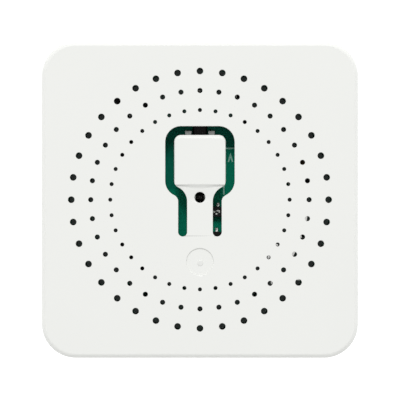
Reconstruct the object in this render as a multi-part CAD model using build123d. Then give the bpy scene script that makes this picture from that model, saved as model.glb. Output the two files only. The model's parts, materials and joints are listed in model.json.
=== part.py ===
from build123d import *
import math
import os

# A smart relay module: a square white housing in two halves that snap together. Its face has three
# rings of vents and a keyhole slit, which leaves a springy tongue with a push pad at its end.
# Under the tongue lies a green board with the push switch and the lamp. The relay, the supply
# parts, the radio and the row of wire clamps hang from the other side of the board.
# The back face lies on z = 0, the vented face looks along +Z, and the wires enter from -Y.
# All lengths are in millimetres.

# Moulded halves
wall = 1.5
floor_thickness = 1.5
plate_thickness = 1.5
corner_radius = 4.4
edge_chamfer = 0.4
cover_depth = 5.4
lip_height = 1.2
lip_wall = 0.7
moulding_gap = 0.1
overrun = 1.0

# Wire clamps, from the board down to the screw heads
terminal_count = 6
terminal_pitch = 5.08
row_end_wall = 0.5
row_margin = 0.16
cage_board_gap = 0.4
cage_wall = 0.8
cage_side_wall = 0.6
wire_gap = 2.6
bar_thickness = 0.8
bar_gap = 0.1
nut_thickness = 1.6
clamp_travel = 2.2
shoulder_gap = 0.1
shoulder_thickness = 1.0
head_gap = 0.1
head_height = 1.5
head_recess = 0.8
block_floor_gap = 0.2

# Wire clamps, across the row and from front to back
cage_width = 4.0
cage_depth = 4.4
cage_gap = 0.15
bar_width = 2.4
bar_inset = 0.3
slot_gap = 0.1
leg_gap = 0.4
lead_width = 1.2
block_back_wall = 1.2
nose_recess = 0.3
block_wall_gap = 0.15
entry_radius = 1.7
entry_length = 2.5
head_radius = 1.75
head_side_gap = 0.15
shaft_radius = 1.25
shaft_gap = 0.1
thread_gap = 0.03
tip_gap = 0.15
drive_slot_width = 0.6
drive_slot_depth = 0.8
drive_cross_length = 2.2
access_lip = 0.15
screw_turn_shares = (0.08, 0.31, 0.0, 0.19, 0.42, 0.27)

# Push switch and the space above the board
board_thickness = 1.6
board_gap = 0.3
switch_side = 4.5
switch_body_height = 1.3
switch_sheet = 0.2
switch_sheet_inset = 0.15
plunger_rise = 0.7
plunger_radius = 1.1
plunger_depth = 0.6
plunger_gap = 0.1
pocket_floor = 0.3
dome_thickness = 0.08
dome_rise = 0.14
dome_edge_gap = 0.1
dome_slope_share = 0.5
nib_gap = 0.05
nib_length = 0.55
nib_radius = 0.8
nib_chamfer = 0.3
switch_y = 5.4
switch_leg_pitch = 3.0
switch_leg_width = 0.7
switch_leg_reach = 1.25
switch_leg_thickness = 0.2
switch_leg_rise = 0.5

# Sides of the round forms that are too small or too hidden to need a true circle
vent_sides = 6
lead_sides = 6
bore_sides = 8
can_sides = 12

# Vents
vents_per_ring = 36
inner_ring_radius = 11.5
ring_step = 2.5
inner_vent = 0.5
middle_vent = 0.63
outer_vent = 0.83

# Keyhole slit, given by the line along its middle
slit_width = 1.14
slit_pad_x = 3.88
slit_stem_x = 2.22
slit_top_y = 8.87
slit_shoulder_y = 2.4
slit_end_y = -4.15
slit_bend = 1.45

# Tongue
stem_thickness = 1.0
pad_rise = 0.4
pad_foot_y = 1.9
pad_chamfer = 0.3
lamp_y = 0.3
lamp_hole_radius = 0.7
collar_wall = 0.6
collar_lamp_gap = 0.5

# Gate mark below the tongue
gate_y = -7.95
gate_radius = 1.75
gate_depth = 0.2
gate_nub_radius = 0.38
gate_nub_drop = 0.04

# Snap arms, board posts and board ribs
arm_width = 6.0
arm_thickness = 1.1
arm_length = 8.6
barb_height = 1.8
barb_reach = 0.9
barb_flat = 0.5
window_gap = 0.2
notch_gap = 0.3
post_radius = 1.2
post_inset = 2.9
post_gap = 0.1
rib_width = 3.0
rib_gap = 0.5
rib_y = 12.5

# Relay
relay_width = 10.2
relay_length = 18.2
relay_height = 11.6
relay_wall = 0.6
relay_base_thickness = 1.2
relay_base_gap = 0.05
relay_edge = 1.5
relay_lead_radius = 0.5
relay_lead_depth = 0.6
coil_tube_radius = 1.9
coil_flange_gap = 0.1
coil_flange = 0.8
coil_length = 8.1
coil_winding_inset = 0.2
core_radius = 1.4
core_gap = 0.05
core_reach = 0.4
coil_back_gap = 0.2
yoke_thickness = 1.0
yoke_inset = 0.2
yoke_case_gap = 0.2
yoke_coil_gap = 0.4
pole_gap = 0.35
armature_thickness = 1.0
armature_inset = 0.2
armature_height = 6.6
armature_foot_gap = 0.1
leaf_thickness = 0.2
leaf_width = 2.6
leaf_top_gap = 0.4
leaf_seat = 3.0
contact_radius = 0.5
moving_contact = 0.25
contact_gap = 0.6
fixed_contact = 0.25
fixed_strip = 0.4
contact_inset = 0.1

# Parts under the board
part_gap = 1.0
component_floor_gap = 0.4
bulk_radius = 4.0
bulk_height = 11.0
bulk_edge = 1.6
bulk_lead_reach = 1.75
bulk_space = 0.6
can_groove = 0.3
can_groove_height = 0.9
can_shoulder = 1.6
can_standoff = 0.2
output_radius = 2.5
output_height = 9.0
lead_radius = 0.3
choke_radius = 3.5
choke_height = 8.0
choke_flange = 1.2
choke_neck = 1.8
choke_winding_inset = 0.4
choke_winding_gap = 0.05
varistor_radius = 3.5
varistor_thickness = 3.2
varistor_standoff = 0.4
varistor_lead_reach = 2.5
fuse_radius = 1.5
fuse_length = 8.0
fuse_end = 1.6
fuse_waist = 0.25
film_length = 10.0
film_thickness = 4.0
film_height = 8.4
film_chamfer = 0.3
fuse_edge = 3.1
radio_width = 15.0
radio_height = 10.6
radio_thickness = 0.8
radio_edge = 1.4
radio_x = -4.0
radio_pin_count = 7
radio_pin_pitch = 2.0
radio_pin = 0.5
radio_pin_depth = 1.8
shield_width = 9.5
shield_height = 7.0
shield_depth = 1.9
shield_sheet = 0.3
shield_drop = 2.6

# Parts on top of the board
lamp_length = 1.6
lamp_width = 0.8
lamp_base = 0.35
lamp_lens = 0.45
lamp_lens_inset = 0.3
bridge_length = 4.7
bridge_width = 3.9
bridge_height = 2.0
chip_length = 4.9
chip_width = 3.9
chip_height = 1.5
chip_leg_pitch = 1.27
regulator_length = 4.5
regulator_width = 2.5
regulator_height = 1.5
leg_width = 0.42
leg_reach = 0.9
leg_thickness = 0.2
leg_rise = 0.6
body_standoff = 0.1
transistor_length = 2.9
transistor_width = 1.3
transistor_height = 1.0
transistor_leg_pitch = 1.9
transistor_leg_reach = 0.5
diode_length = 2.8
diode_width = 1.85
diode_height = 1.1
diode_foot_width = 1.0
diode_foot_reach = 0.35
diode_switch_gap = 0.1
diode_chamfer = 0.2
resistor_length = 3.2
resistor_width = 1.6
resistor_height = 0.6
small_resistor_length = 2.0
small_resistor_width = 1.25
capacitor_chip_length = 2.0
capacitor_chip_width = 1.25
capacitor_chip_height = 0.9
joint_height = 0.7
joint_top_share = 0.4
tinned_width = 2.0
tinned_corner = 0.6
tinned_height = 0.35
signal_joint = 0.6
clamp_joint = 1.0
hole_gap = 0.15

# Places on top of the board, as shares of half the board's side
bridge_place_shares = (-0.435, -0.41)
chip_place_shares = (-0.435, 0.335)
regulator_place_shares = (-0.49, 0.68)
transistor_place_shares = ((0.127, -0.084), (0.117, -0.259))
resistor_place_shares = ((0.43, 0.06), (0.7, 0.1), (-0.43, 0.016), (0.33, 0.75))
small_resistor_place_shares = ((0.36, 0.35), (0.31, 0.53), (-0.87, -0.53), (0.27, 0.02))
capacitor_place_shares = ((-0.74, 0.71), (0.44, -0.12), (-0.05, 0.73), (0.7, 0.24))
tinned_place_shares = (((0.694, -0.13), (0.681, -0.508)), ((0.54, -0.335), (0.54, -0.562)))

# Relay leads, as shares of the relay's width and length from its middle, or from its inner edge,
# and the radius of the solder on each
contact_lead_shares = (0.098, -0.242)
common_lead_share = -0.186
common_lead_edge = 0.9
coil_lead_side = 0.15
coil_lead_edge = 0.7
contact_joint = 1.3
common_joint = 1.2
coil_joint = 0.65

# Sizes that follow from those above
row_width = terminal_count * terminal_pitch + 2 * row_end_wall
housing_side = row_width + 2 * (corner_radius + row_margin)
housing_half = housing_side / 2
inner_half = housing_half - wall
board_half = inner_half - board_gap

terminal_stack = (
    block_floor_gap + head_recess + head_height + head_gap + shoulder_thickness + shoulder_gap
    + clamp_travel + nut_thickness + bar_gap + bar_thickness + wire_gap + cage_wall + cage_board_gap
)
tallest_part = max(relay_height, bulk_height + can_standoff, output_height + can_standoff, radio_height)
below_board = max(terminal_stack, tallest_part + component_floor_gap)
board_bottom = floor_thickness + below_board
board_top = board_bottom + board_thickness
switch_top = board_top + switch_body_height + switch_sheet
plunger_top = switch_top + plunger_rise
ceiling_z = plunger_top + nib_gap + nib_length
face_z = ceiling_z + plate_thickness
parting_z = face_z - cover_depth
stem_under_z = face_z - stem_thickness
root_y = slit_end_y - slit_width / 2

cage_top = board_bottom - cage_board_gap
wire_top = cage_top - cage_wall
bar_top = wire_top - wire_gap
wire_z = bar_top + wire_gap / 2
bar_bottom = bar_top - bar_thickness
nut_top = bar_bottom - bar_gap
cage_bottom = nut_top - nut_thickness
shoulder_top = cage_bottom - clamp_travel - shoulder_gap
shoulder_bottom = shoulder_top - shoulder_thickness
head_top = shoulder_bottom - head_gap
head_bottom = head_top - head_height
block_bottom = floor_thickness + block_floor_gap

nose_front = -(housing_half - nose_recess)
block_front = -(inner_half - block_wall_gap)
cavity_front = nose_front + entry_length
cage_front = cavity_front + cage_gap
cage_back = cage_front + cage_depth
screw_y = (cage_front + cage_back) / 2
cavity_back = cage_back + cage_gap
leg_front = cage_back + leg_gap
leg_back = leg_front + bar_thickness
leg_y = (leg_front + leg_back) / 2
block_back = leg_back + slot_gap + block_back_wall
terminal_xs = [(i - (terminal_count - 1) / 2) * terminal_pitch for i in range(terminal_count)]

rib_inner = row_width / 2 + rib_gap
relay_x = board_half - relay_edge - relay_width / 2
relay_y = block_back + part_gap + relay_length / 2
relay_bottom = board_bottom - relay_height
relay_inner_top = board_bottom - relay_base_thickness
bulk_x = -(board_half - bulk_edge - bulk_radius)
bulk_ys = [block_back + part_gap + bulk_radius + i * (2 * bulk_radius + bulk_space) for i in range(2)]
choke_x = bulk_x + bulk_radius + part_gap + choke_radius
choke_y = block_back + part_gap + choke_radius
output_x = bulk_x + bulk_radius + part_gap + output_radius
output_y = choke_y + choke_radius + part_gap + output_radius
varistor_x = relay_x - relay_width / 2 - part_gap - varistor_thickness / 2
varistor_y = block_back + part_gap + varistor_radius
fuse_x = -(board_half - fuse_edge) + fuse_length / 2 + fuse_radius
fuse_y = bulk_ys[-1] + bulk_radius + part_gap + fuse_radius
film_x = rib_inner - rib_gap - film_length / 2
film_y = relay_y + relay_length / 2 + part_gap + film_thickness / 2
radio_y = board_half - radio_edge
diode_y = switch_y + switch_side / 2 + diode_switch_gap + diode_foot_reach + diode_length / 2

# Leads that pass through the board: x, y, radius of the lead, radius of the solder on it
clamp_leads = [(x, leg_y, math.hypot(lead_width, bar_thickness) / 2, clamp_joint) for x in terminal_xs]
lead_space = relay_wall + relay_base_gap + relay_lead_radius
contact_lead_x = relay_x + relay_width * contact_lead_shares[0]
contact_lead_y = relay_y + relay_length * contact_lead_shares[1]
common_lead_x = relay_x + relay_width * common_lead_share
common_lead_y = relay_y - relay_length / 2 + lead_space + common_lead_edge
coil_lead_reach = relay_width / 2 - lead_space - coil_lead_side
coil_lead_y = relay_y + relay_length / 2 - lead_space - coil_lead_edge
coil_flange_side = 2 * (coil_lead_reach - relay_lead_radius - coil_flange_gap)
coil_radius = coil_flange_side / 2 - coil_winding_inset
yoke_width = coil_flange_side - 2 * yoke_inset
armature_width = yoke_width - 2 * armature_inset
relay_leads = [
    (contact_lead_x, contact_lead_y, relay_lead_radius, contact_joint),
    (common_lead_x, common_lead_y, relay_lead_radius, common_joint),
    (relay_x - coil_lead_reach, coil_lead_y, relay_lead_radius, coil_joint),
    (relay_x + coil_lead_reach, coil_lead_y, relay_lead_radius, coil_joint),
]
radio_pin_y = radio_y + radio_thickness / 2 + radio_pin / 2
radio_pin_xs = [
    radio_x + (i - (radio_pin_count - 1) / 2) * radio_pin_pitch for i in range(radio_pin_count)
]
radio_leads = [(x, radio_pin_y, math.hypot(radio_pin, radio_pin) / 2, signal_joint) for x in radio_pin_xs]


def pair_along_x(x, y, reach, joint=signal_joint):
    return [(x + side * reach, y, lead_radius, joint) for side in (-1, 1)]


def pair_along_y(x, y, reach, joint=signal_joint):
    return [(x, y + side * reach, lead_radius, joint) for side in (-1, 1)]


bulk_leads = [lead for y in bulk_ys for lead in pair_along_x(bulk_x, y, bulk_lead_reach)]
output_leads = pair_along_y(output_x, output_y, output_radius / 2)
choke_leads = pair_along_y(choke_x, choke_y, choke_neck + choke_winding_inset)
varistor_leads = pair_along_y(varistor_x, varistor_y, varistor_lead_reach)
film_leads = pair_along_x(film_x, film_y, film_length / 4)
fuse_leads = pair_along_x(fuse_x, fuse_y, fuse_length / 2 + fuse_radius)
wire_leads = bulk_leads + output_leads + choke_leads + varistor_leads + film_leads + fuse_leads
all_leads = clamp_leads + relay_leads + radio_leads + wire_leads


def block(x_size, y_size, z_low, z_high, x=0, y=0):
    return Pos(x, y, (z_low + z_high) / 2) * Box(x_size, y_size, z_high - z_low)


def span_block(x_low, x_high, y_low, y_high, z_low, z_high):
    return block(x_high - x_low, y_high - y_low, z_low, z_high, (x_low + x_high) / 2, (y_low + y_high) / 2)


def rod(radius, z_low, z_high, x=0, y=0):
    return Pos(x, y, (z_low + z_high) / 2) * Cylinder(radius, z_high - z_low)


def rod_along_y(radius, y_low, y_high, x, z):
    return Pos(x, (y_low + y_high) / 2, z) * Rot(90, 0, 0) * Cylinder(radius, y_high - y_low)


def prism(radius, sides, z_low, z_high, x=0, y=0):
    """A rod of few sides, with its corners at the radius."""
    return Pos(x, y, z_low) * extrude(RegularPolygon(radius, sides), z_high - z_low)


def bore(radius, sides, z_low, z_high, x=0, y=0):
    """A cutter of few sides, with its flats at the radius, so that a rod turns freely in the hole."""
    return Pos(x, y, z_low) * extrude(RegularPolygon(radius, sides, major_radius=False), z_high - z_low)


def prism_along_y(radius, sides, y_low, y_high, x, z):
    return Pos(x, y_high, z) * Rot(90, 0, 0) * extrude(RegularPolygon(radius, sides), y_high - y_low)


def prism_along_x(radius, sides, x_low, x_high, y, z):
    return Pos(x_low, y, z) * Rot(0, 90, 0) * extrude(RegularPolygon(radius, sides), x_high - x_low)


def rounded_block(side, corner, z_low, z_high):
    return Pos(0, 0, z_low) * extrude(RectangleRounded(side, side, corner), z_high - z_low)


def group(solids):
    return Compound(children=list(solids))


def slit_line(end_y):
    """The line along the middle of the slit, from one end up, round the pad and down again."""
    turn = math.acos(1 - (slit_pad_x - slit_stem_x) / (2 * slit_bend))
    shoulder_rise = 2 * slit_bend * math.sin(turn)
    low = (-slit_stem_x, end_y)
    neck = (-slit_stem_x, slit_shoulder_y - shoulder_rise)
    middle = (-(slit_stem_x + slit_pad_x) / 2, slit_shoulder_y - shoulder_rise / 2)
    shoulder = (-slit_pad_x, slit_shoulder_y)
    side_top = (-slit_pad_x, slit_top_y - slit_bend)
    top_side = (-(slit_pad_x - slit_bend), slit_top_y)
    stem = Line(low, neck)
    out_turn = TangentArc(neck, middle, tangent=(0, 1))
    up_turn = TangentArc(shoulder, middle, tangent=(0, -1))
    side = Line(shoulder, side_top)
    corner = TangentArc(side_top, top_side, tangent=(0, 1))
    half = [stem, out_turn, up_turn, side, corner]
    top = Line(top_side, (slit_pad_x - slit_bend, slit_top_y))
    return half + [top] + [mirror(part, about=Plane.YZ) for part in half]


def slit_face():
    line = Wire(Curve() + slit_line(slit_end_y)).offset_2d(slit_width / 2, side=Side.BOTH)
    return make_face(line)


def keyhole_face():
    """Everything inside the middle of the slit, closed by the root of the tongue."""
    closing = Line((-slit_stem_x, root_y), (slit_stem_x, root_y))
    return make_face(Curve() + slit_line(root_y) + [closing])


def vent_places():
    sizes = (inner_vent, middle_vent, outer_vent)
    for ring, size in enumerate(sizes):
        radius = inner_ring_radius + ring * ring_step
        for i in range(vents_per_ring):
            angle = 2 * math.pi * i / vents_per_ring
            yield radius * math.cos(angle), radius * math.sin(angle), size / 2


def snap_arm(side):
    """One arm of the cover, with a barb that catches in the window of the base."""
    outer = inner_half - moulding_gap
    tip = ceiling_z - arm_length
    points = [
        (outer - arm_thickness, ceiling_z),
        (outer, ceiling_z),
        (outer, tip + barb_height),
        (outer + barb_reach, tip + barb_height),
        (outer + barb_reach, tip + barb_height - barb_flat),
        (outer, tip),
        (outer - arm_thickness, tip),
    ]
    profile = make_face(Polyline([(x, 0, z) for x, z in points], close=True))
    arm = extrude(profile, arm_width / 2, dir=(0, 1, 0), both=True)
    return arm if side > 0 else mirror(arm, about=Plane.YZ)


def cover():
    shell = rounded_block(housing_side, corner_radius, parting_z, face_z)
    shell = chamfer(shell.faces().sort_by(Axis.Z)[-1].edges(), edge_chamfer)
    skin = wall - lip_wall - moulding_gap
    shell -= rounded_block(2 * inner_half, corner_radius - wall, parting_z - overrun, ceiling_z)
    rebate_top = parting_z + lip_height + moulding_gap
    shell -= rounded_block(housing_side - 2 * skin, corner_radius - skin, parting_z - overrun, rebate_top)
    # the drop tab closes the wall above the row of wire clamps
    tab_low = board_bottom + moulding_gap
    tab_half = row_width / 2
    shell += span_block(-tab_half, tab_half, -housing_half, -inner_half, tab_low, rebate_top)
    cutters = [extrude(Pos(0, 0, ceiling_z - overrun) * face, plate_thickness + 2 * overrun)
               for face in (slit_face(), keyhole_face())]
    cutters += [prism(radius, vent_sides, ceiling_z - overrun, face_z + overrun, x, y)
                for x, y, radius in vent_places()]
    cutters.append(prism(gate_radius, can_sides, face_z - gate_depth, face_z + overrun, 0, gate_y))
    shell -= cutters
    nub_top = face_z - gate_nub_drop
    shell += prism(gate_nub_radius, lead_sides, face_z - gate_depth, nub_top, 0, gate_y)
    post_place = board_half - post_inset
    post_low = board_top + post_gap
    posts = [prism(post_radius, bore_sides, post_low, ceiling_z, sx * post_place, sy * post_place)
             for sx in (-1, 1) for sy in (-1, 1)]
    return shell + posts + [snap_arm(-1), snap_arm(1)]


def button_tongue():
    """The springy stem, the raised pad at its end, the nib over the switch and the lamp collar."""
    outline = keyhole_face() - slit_face()
    stem = extrude(Pos(0, 0, stem_under_z) * outline, stem_thickness)
    pad_length = slit_top_y - pad_foot_y
    window = Pos(0, pad_foot_y + pad_length / 2) * Rectangle(2 * slit_pad_x, pad_length)
    pad = extrude(Pos(0, 0, ceiling_z) * (outline & window), plate_thickness + pad_rise)
    pad = chamfer(pad.faces().sort_by(Axis.Z)[-1].edges(), pad_chamfer)
    nib = prism(nib_radius, bore_sides, plunger_top + nib_gap, ceiling_z, 0, switch_y)
    nib = chamfer(nib.faces().sort_by(Axis.Z)[0].edges(), nib_chamfer)
    collar_low = board_top + lamp_base + lamp_lens + collar_lamp_gap
    collar = prism(lamp_hole_radius + collar_wall, can_sides, collar_low, face_z, 0, lamp_y)
    hole = prism(lamp_hole_radius, can_sides, collar_low - overrun, face_z + pad_rise + overrun, 0, lamp_y)
    return stem + pad + nib + collar - hole


def base():
    shell = rounded_block(housing_side, corner_radius, 0, parting_z)
    shell = chamfer(shell.faces().sort_by(Axis.Z)[0].edges(), edge_chamfer)
    lip_step = wall - lip_wall
    lip_side = housing_side - 2 * lip_step
    shell += rounded_block(lip_side, corner_radius - lip_step, parting_z, parting_z + lip_height)
    open_top = parting_z + lip_height + overrun
    shell -= rounded_block(2 * inner_half, corner_radius - wall, floor_thickness, open_top)
    window_half = row_width / 2 + moulding_gap
    sill = shoulder_top - moulding_gap
    front_cut = -housing_half - overrun
    shell -= span_block(-window_half, window_half, front_cut, -inner_half + overrun, sill, open_top)
    barb_low = ceiling_z - arm_length
    snap_cut = block(2 * (housing_half + overrun), arm_width + 2 * window_gap,
                     barb_low - window_gap, barb_low + barb_height + window_gap)
    shell -= snap_cut
    for x in terminal_xs:
        shell -= bore(head_radius - access_lip, bore_sides, -overrun, floor_thickness + overrun, x, screw_y)
    rib_outer = inner_half + wall / 2
    for side in (-1, 1):
        x_low, x_high = sorted((side * rib_inner, side * rib_outer))
        for y in (-rib_y, rib_y):
            shell += span_block(x_low, x_high, y - rib_width / 2, y + rib_width / 2,
                                floor_thickness / 2, board_bottom)
    return shell


def circuit_board():
    board = rounded_block(2 * board_half, corner_radius - wall - board_gap, board_bottom, board_top)
    low, high = board_bottom - overrun, board_top + overrun
    notch_inner = inner_half - moulding_gap - arm_thickness - notch_gap
    notch_half = arm_width / 2 + notch_gap
    cutters = []
    for side in (-1, 1):
        x_low, x_high = sorted((side * notch_inner, side * (board_half + overrun)))
        cutters.append(span_block(x_low, x_high, -notch_half, notch_half, low, high))
    cutters += [bore(radius + hole_gap, lead_sides, low, high, x, y) for x, y, radius, _ in all_leads]
    return board - cutters


def terminal_housing(index):
    """The insulating housing of one clamp, with its nose in the wall and a well for each piece."""
    x = terminal_xs[index]
    x_low = x - terminal_pitch / 2 - (row_end_wall if index == 0 else 0)
    x_high = x + terminal_pitch / 2 + (row_end_wall if index == terminal_count - 1 else 0)
    housing = span_block(x_low, x_high, block_front, block_back, block_bottom, board_bottom)
    housing += span_block(x_low, x_high, nose_front, block_front, shoulder_top, board_bottom)
    cage_half = cage_width / 2 + cage_gap
    leg_half = bar_width / 2 + slot_gap
    open_top = board_bottom + overrun
    shaft_low, shaft_high = shoulder_bottom - overrun, shoulder_top + overrun
    return housing - [
        span_block(x - cage_half, x + cage_half, cavity_front, cavity_back, shoulder_top, open_top),
        span_block(x - leg_half, x + leg_half, cavity_back - cage_gap, leg_back + slot_gap,
                   bar_bottom - slot_gap, open_top),
        bore(shaft_radius + shaft_gap, bore_sides, shaft_low, shaft_high, x, screw_y),
        bore(head_radius + head_side_gap, bore_sides, block_bottom - overrun, shoulder_bottom, x, screw_y),
        rod_along_y(entry_radius, nose_front - overrun, cavity_front + cage_gap, x, wire_z),
    ]


def terminal_screw(index):
    x = terminal_xs[index]
    screw = rod(head_radius, head_bottom, head_top, x, screw_y)
    screw += prism(shaft_radius, bore_sides, head_top, bar_bottom - tip_gap, x, screw_y)
    slot_middle = head_bottom + (drive_slot_depth - overrun) / 2
    slot_height = drive_slot_depth + overrun
    turn = 360 * screw_turn_shares[index % len(screw_turn_shares)]
    slots = Box(2 * head_radius + overrun, drive_slot_width, slot_height)
    slots += Box(drive_slot_width, drive_cross_length, slot_height)
    return screw - Pos(x, screw_y, slot_middle) * Rot(0, 0, turn) * slots


def clamp_cage(index):
    """A square tube across the wire's path, with the screw's thread in its lower wall."""
    x = terminal_xs[index]
    half = cage_width / 2
    window_half = half - cage_side_wall
    cage = span_block(x - half, x + half, cage_front, cage_back, cage_bottom, cage_top)
    cage -= span_block(x - window_half, x + window_half, cage_front - overrun, cage_back + overrun,
                       nut_top, wire_top)
    return cage - bore(shaft_radius + thread_gap, bore_sides, cage_bottom - overrun, nut_top + overrun / 2,
                       x, screw_y)


def terminal_tab(x):
    half = bar_width / 2
    tab = span_block(x - half, x + half, cavity_front + bar_inset, leg_back, bar_bottom, bar_top)
    tab += span_block(x - half, x + half, leg_front, leg_back, bar_bottom, board_bottom)
    return tab + block(lead_width, bar_thickness, board_bottom, board_top, x, leg_y)


def tact_switch_body():
    body = block(switch_side, switch_side, board_top, board_top + switch_body_height, 0, switch_y)
    body = chamfer(body.edges().filter_by(Axis.Z), switch_sheet)
    pocket_radius = plunger_radius + plunger_gap
    pocket_low = board_top + pocket_floor
    return body - bore(pocket_radius, bore_sides, pocket_low, board_top + switch_body_height + overrun,
                       0, switch_y)


def tact_switch_frame():
    sheet_side = switch_side - 2 * switch_sheet_inset
    low = board_top + switch_body_height
    sheet = block(sheet_side, sheet_side, low, low + switch_sheet, 0, switch_y)
    return sheet - bore(plunger_radius + plunger_gap, bore_sides, low - overrun, low + overrun, 0, switch_y)


def tact_switch_dome():
    """A thin sprung cap that lies on the floor of the switch's pocket, under the plunger."""
    edge = plunger_radius + plunger_gap - dome_edge_gap
    floor_z = board_top + pocket_floor
    slope = math.degrees(math.atan2(edge * dome_slope_share, dome_rise))
    cap = extrude(RegularPolygon(edge, bore_sides), dome_rise, taper=slope)
    return Pos(0, switch_y, floor_z) * (cap - Pos(0, 0, -dome_thickness) * cap)


def tact_switch_plunger():
    low = board_top + switch_body_height - plunger_depth
    return prism(plunger_radius, bore_sides, low, plunger_top, 0, switch_y)


def tact_switch_legs():
    foot_top, riser_top = board_top + switch_leg_thickness, board_top + switch_leg_rise
    legs = []
    for side in (-1, 1):
        inner = switch_y + side * switch_side / 2
        outer = inner + side * switch_leg_reach
        knee = inner + side * switch_leg_thickness
        for x in (-switch_leg_pitch / 2, switch_leg_pitch / 2):
            x_low, x_high = x - switch_leg_width / 2, x + switch_leg_width / 2
            foot = span_block(x_low, x_high, *sorted((inner, outer)), board_top, foot_top)
            riser = span_block(x_low, x_high, *sorted((inner, knee)), board_top, riser_top)
            legs.append(foot + riser)
    return group(legs)


def status_lamp_body():
    return block(lamp_length, lamp_width, board_top, board_top + lamp_base, 0, lamp_y)


def status_lamp_lens():
    low = board_top + lamp_base
    lens = block(lamp_length - 2 * lamp_lens_inset, lamp_width, low, low + lamp_lens, 0, lamp_y)
    return chamfer(lens.faces().sort_by(Axis.Z)[-1].edges(), lamp_lens / 4)


def relay_case():
    case = block(relay_width, relay_length, relay_bottom, board_bottom, relay_x, relay_y)
    case = chamfer(case.edges().filter_by(Axis.Z), relay_wall / 2)
    return case - block(relay_width - 2 * relay_wall, relay_length - 2 * relay_wall,
                        relay_bottom + relay_wall, board_bottom + overrun, relay_x, relay_y)


def relay_base():
    shrink = 2 * (relay_wall + relay_base_gap)
    width, length = relay_width - shrink, relay_length - shrink
    plate = block(width, length, relay_inner_top, board_bottom, relay_x, relay_y)
    low, high = relay_inner_top - overrun, board_bottom + overrun
    return plate - [bore(radius + relay_base_gap, lead_sides, low, high, x, y)
                    for x, y, radius, _ in relay_leads]


def relay_pins():
    return group(prism(radius, lead_sides, relay_inner_top - relay_lead_depth, board_top, x, y)
                 for x, y, radius, _ in relay_leads)


# The coil lies along Y. Its yoke runs below it and up behind it, and the armature stands before it.
yoke_bottom = relay_bottom + relay_wall + yoke_case_gap
yoke_top = yoke_bottom + yoke_thickness
coil_z = yoke_top + yoke_coil_gap + coil_flange_side / 2
coil_back = relay_y + relay_length / 2 - relay_wall - yoke_case_gap - yoke_thickness - coil_back_gap
coil_front = coil_back - coil_length
pole_face = coil_front - core_reach
armature_back = pole_face - pole_gap
armature_front = armature_back - armature_thickness
leaf_front = armature_front - leaf_thickness


def relay_bobbin():
    side = coil_flange_side
    bobbin = prism_along_y(coil_tube_radius, bore_sides, coil_front, coil_back, relay_x, coil_z)
    for y_low in (coil_front, coil_back - coil_flange):
        bobbin += span_block(relay_x - side / 2, relay_x + side / 2, y_low, y_low + coil_flange,
                             coil_z - side / 2, relay_inner_top)
    return bobbin - prism_along_y(core_radius + core_gap, bore_sides, coil_front - overrun,
                                  coil_back + overrun, relay_x, coil_z)


def relay_winding():
    y_low, y_high = coil_front + coil_flange, coil_back - coil_flange
    outside = prism_along_y(coil_radius, bore_sides, y_low, y_high, relay_x, coil_z)
    return outside - prism_along_y(coil_tube_radius, bore_sides, y_low - overrun, y_high + overrun,
                                   relay_x, coil_z)


def relay_core():
    return prism_along_y(core_radius, bore_sides, pole_face, coil_back + coil_back_gap, relay_x, coil_z)


def relay_yoke():
    x_low, x_high = relay_x - yoke_width / 2, relay_x + yoke_width / 2
    back = coil_back + coil_back_gap
    foot = span_block(x_low, x_high, armature_back, back + yoke_thickness, yoke_bottom, yoke_top)
    return foot + span_block(x_low, x_high, back, back + yoke_thickness, yoke_bottom, coil_z + core_radius)


def relay_armature():
    low = yoke_bottom
    return span_block(relay_x - armature_width / 2, relay_x + armature_width / 2,
                      armature_front, armature_back - armature_foot_gap / 2, low, low + armature_height)


leaf_top = relay_inner_top - leaf_top_gap
contact_z = leaf_top - contact_radius - contact_inset


def relay_leaf_spring():
    half = leaf_width / 2
    leaf_low = yoke_bottom + leaf_seat
    leaf = span_block(relay_x - half, relay_x + half, leaf_front, armature_front, leaf_low, leaf_top)
    return leaf + prism_along_y(contact_radius, lead_sides, armature_front, armature_front + moving_contact,
                                relay_x, contact_z)


def relay_fixed_contact():
    """A strip that hangs from the relay's base, with the contact that the leaf closes on."""
    face = armature_front + moving_contact + contact_gap
    strip_front = face + fixed_contact
    half = leaf_width / 2
    strip = span_block(relay_x - half, relay_x + half, strip_front, strip_front + fixed_strip,
                       contact_z - contact_radius - contact_inset, relay_inner_top)
    return strip + prism_along_y(contact_radius, lead_sides, face, strip_front, relay_x, contact_z)


def radio_board():
    return span_block(radio_x - radio_width / 2, radio_x + radio_width / 2,
                      radio_y - radio_thickness / 2, radio_y + radio_thickness / 2,
                      board_bottom - radio_height, board_bottom)


def radio_shield():
    """A pressed lid over the radio's chips, open towards its board."""
    back = radio_y - radio_thickness / 2
    front = back - shield_depth
    x_low, x_high = radio_x - shield_width / 2, radio_x + shield_width / 2
    z_high = board_bottom - shield_drop
    z_low = z_high - shield_height
    lid = span_block(x_low, x_high, front, back, z_low, z_high)
    lid = chamfer(lid.edges().filter_by(Axis.Y), shield_sheet)
    return lid - span_block(x_low + shield_sheet, x_high - shield_sheet, front + shield_sheet,
                            back + overrun, z_low + shield_sheet, z_high - shield_sheet)


def radio_pins():
    return group(block(radio_pin, radio_pin, board_bottom - radio_pin_depth, board_top, x, radio_pin_y)
                 for x in radio_pin_xs)


def can_capacitor(radius, height, x, y):
    """A metal can that stands on the board, with the rolled groove that holds its bung."""
    top = board_bottom - can_standoff
    can = prism(radius, can_sides, top - height, top, x, y)
    can = chamfer(can.faces().sort_by(Axis.Z)[0].edges(), can_groove)
    ring_low = top - can_shoulder - can_groove_height / 2
    ring_high = ring_low + can_groove_height
    ring = prism(radius + overrun, can_sides, ring_low, ring_high, x, y)
    return can - (ring - prism(radius - can_groove, can_sides, ring_low, ring_high, x, y))


def bulk_capacitors():
    return group(can_capacitor(bulk_radius, bulk_height, bulk_x, y) for y in bulk_ys)


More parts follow.
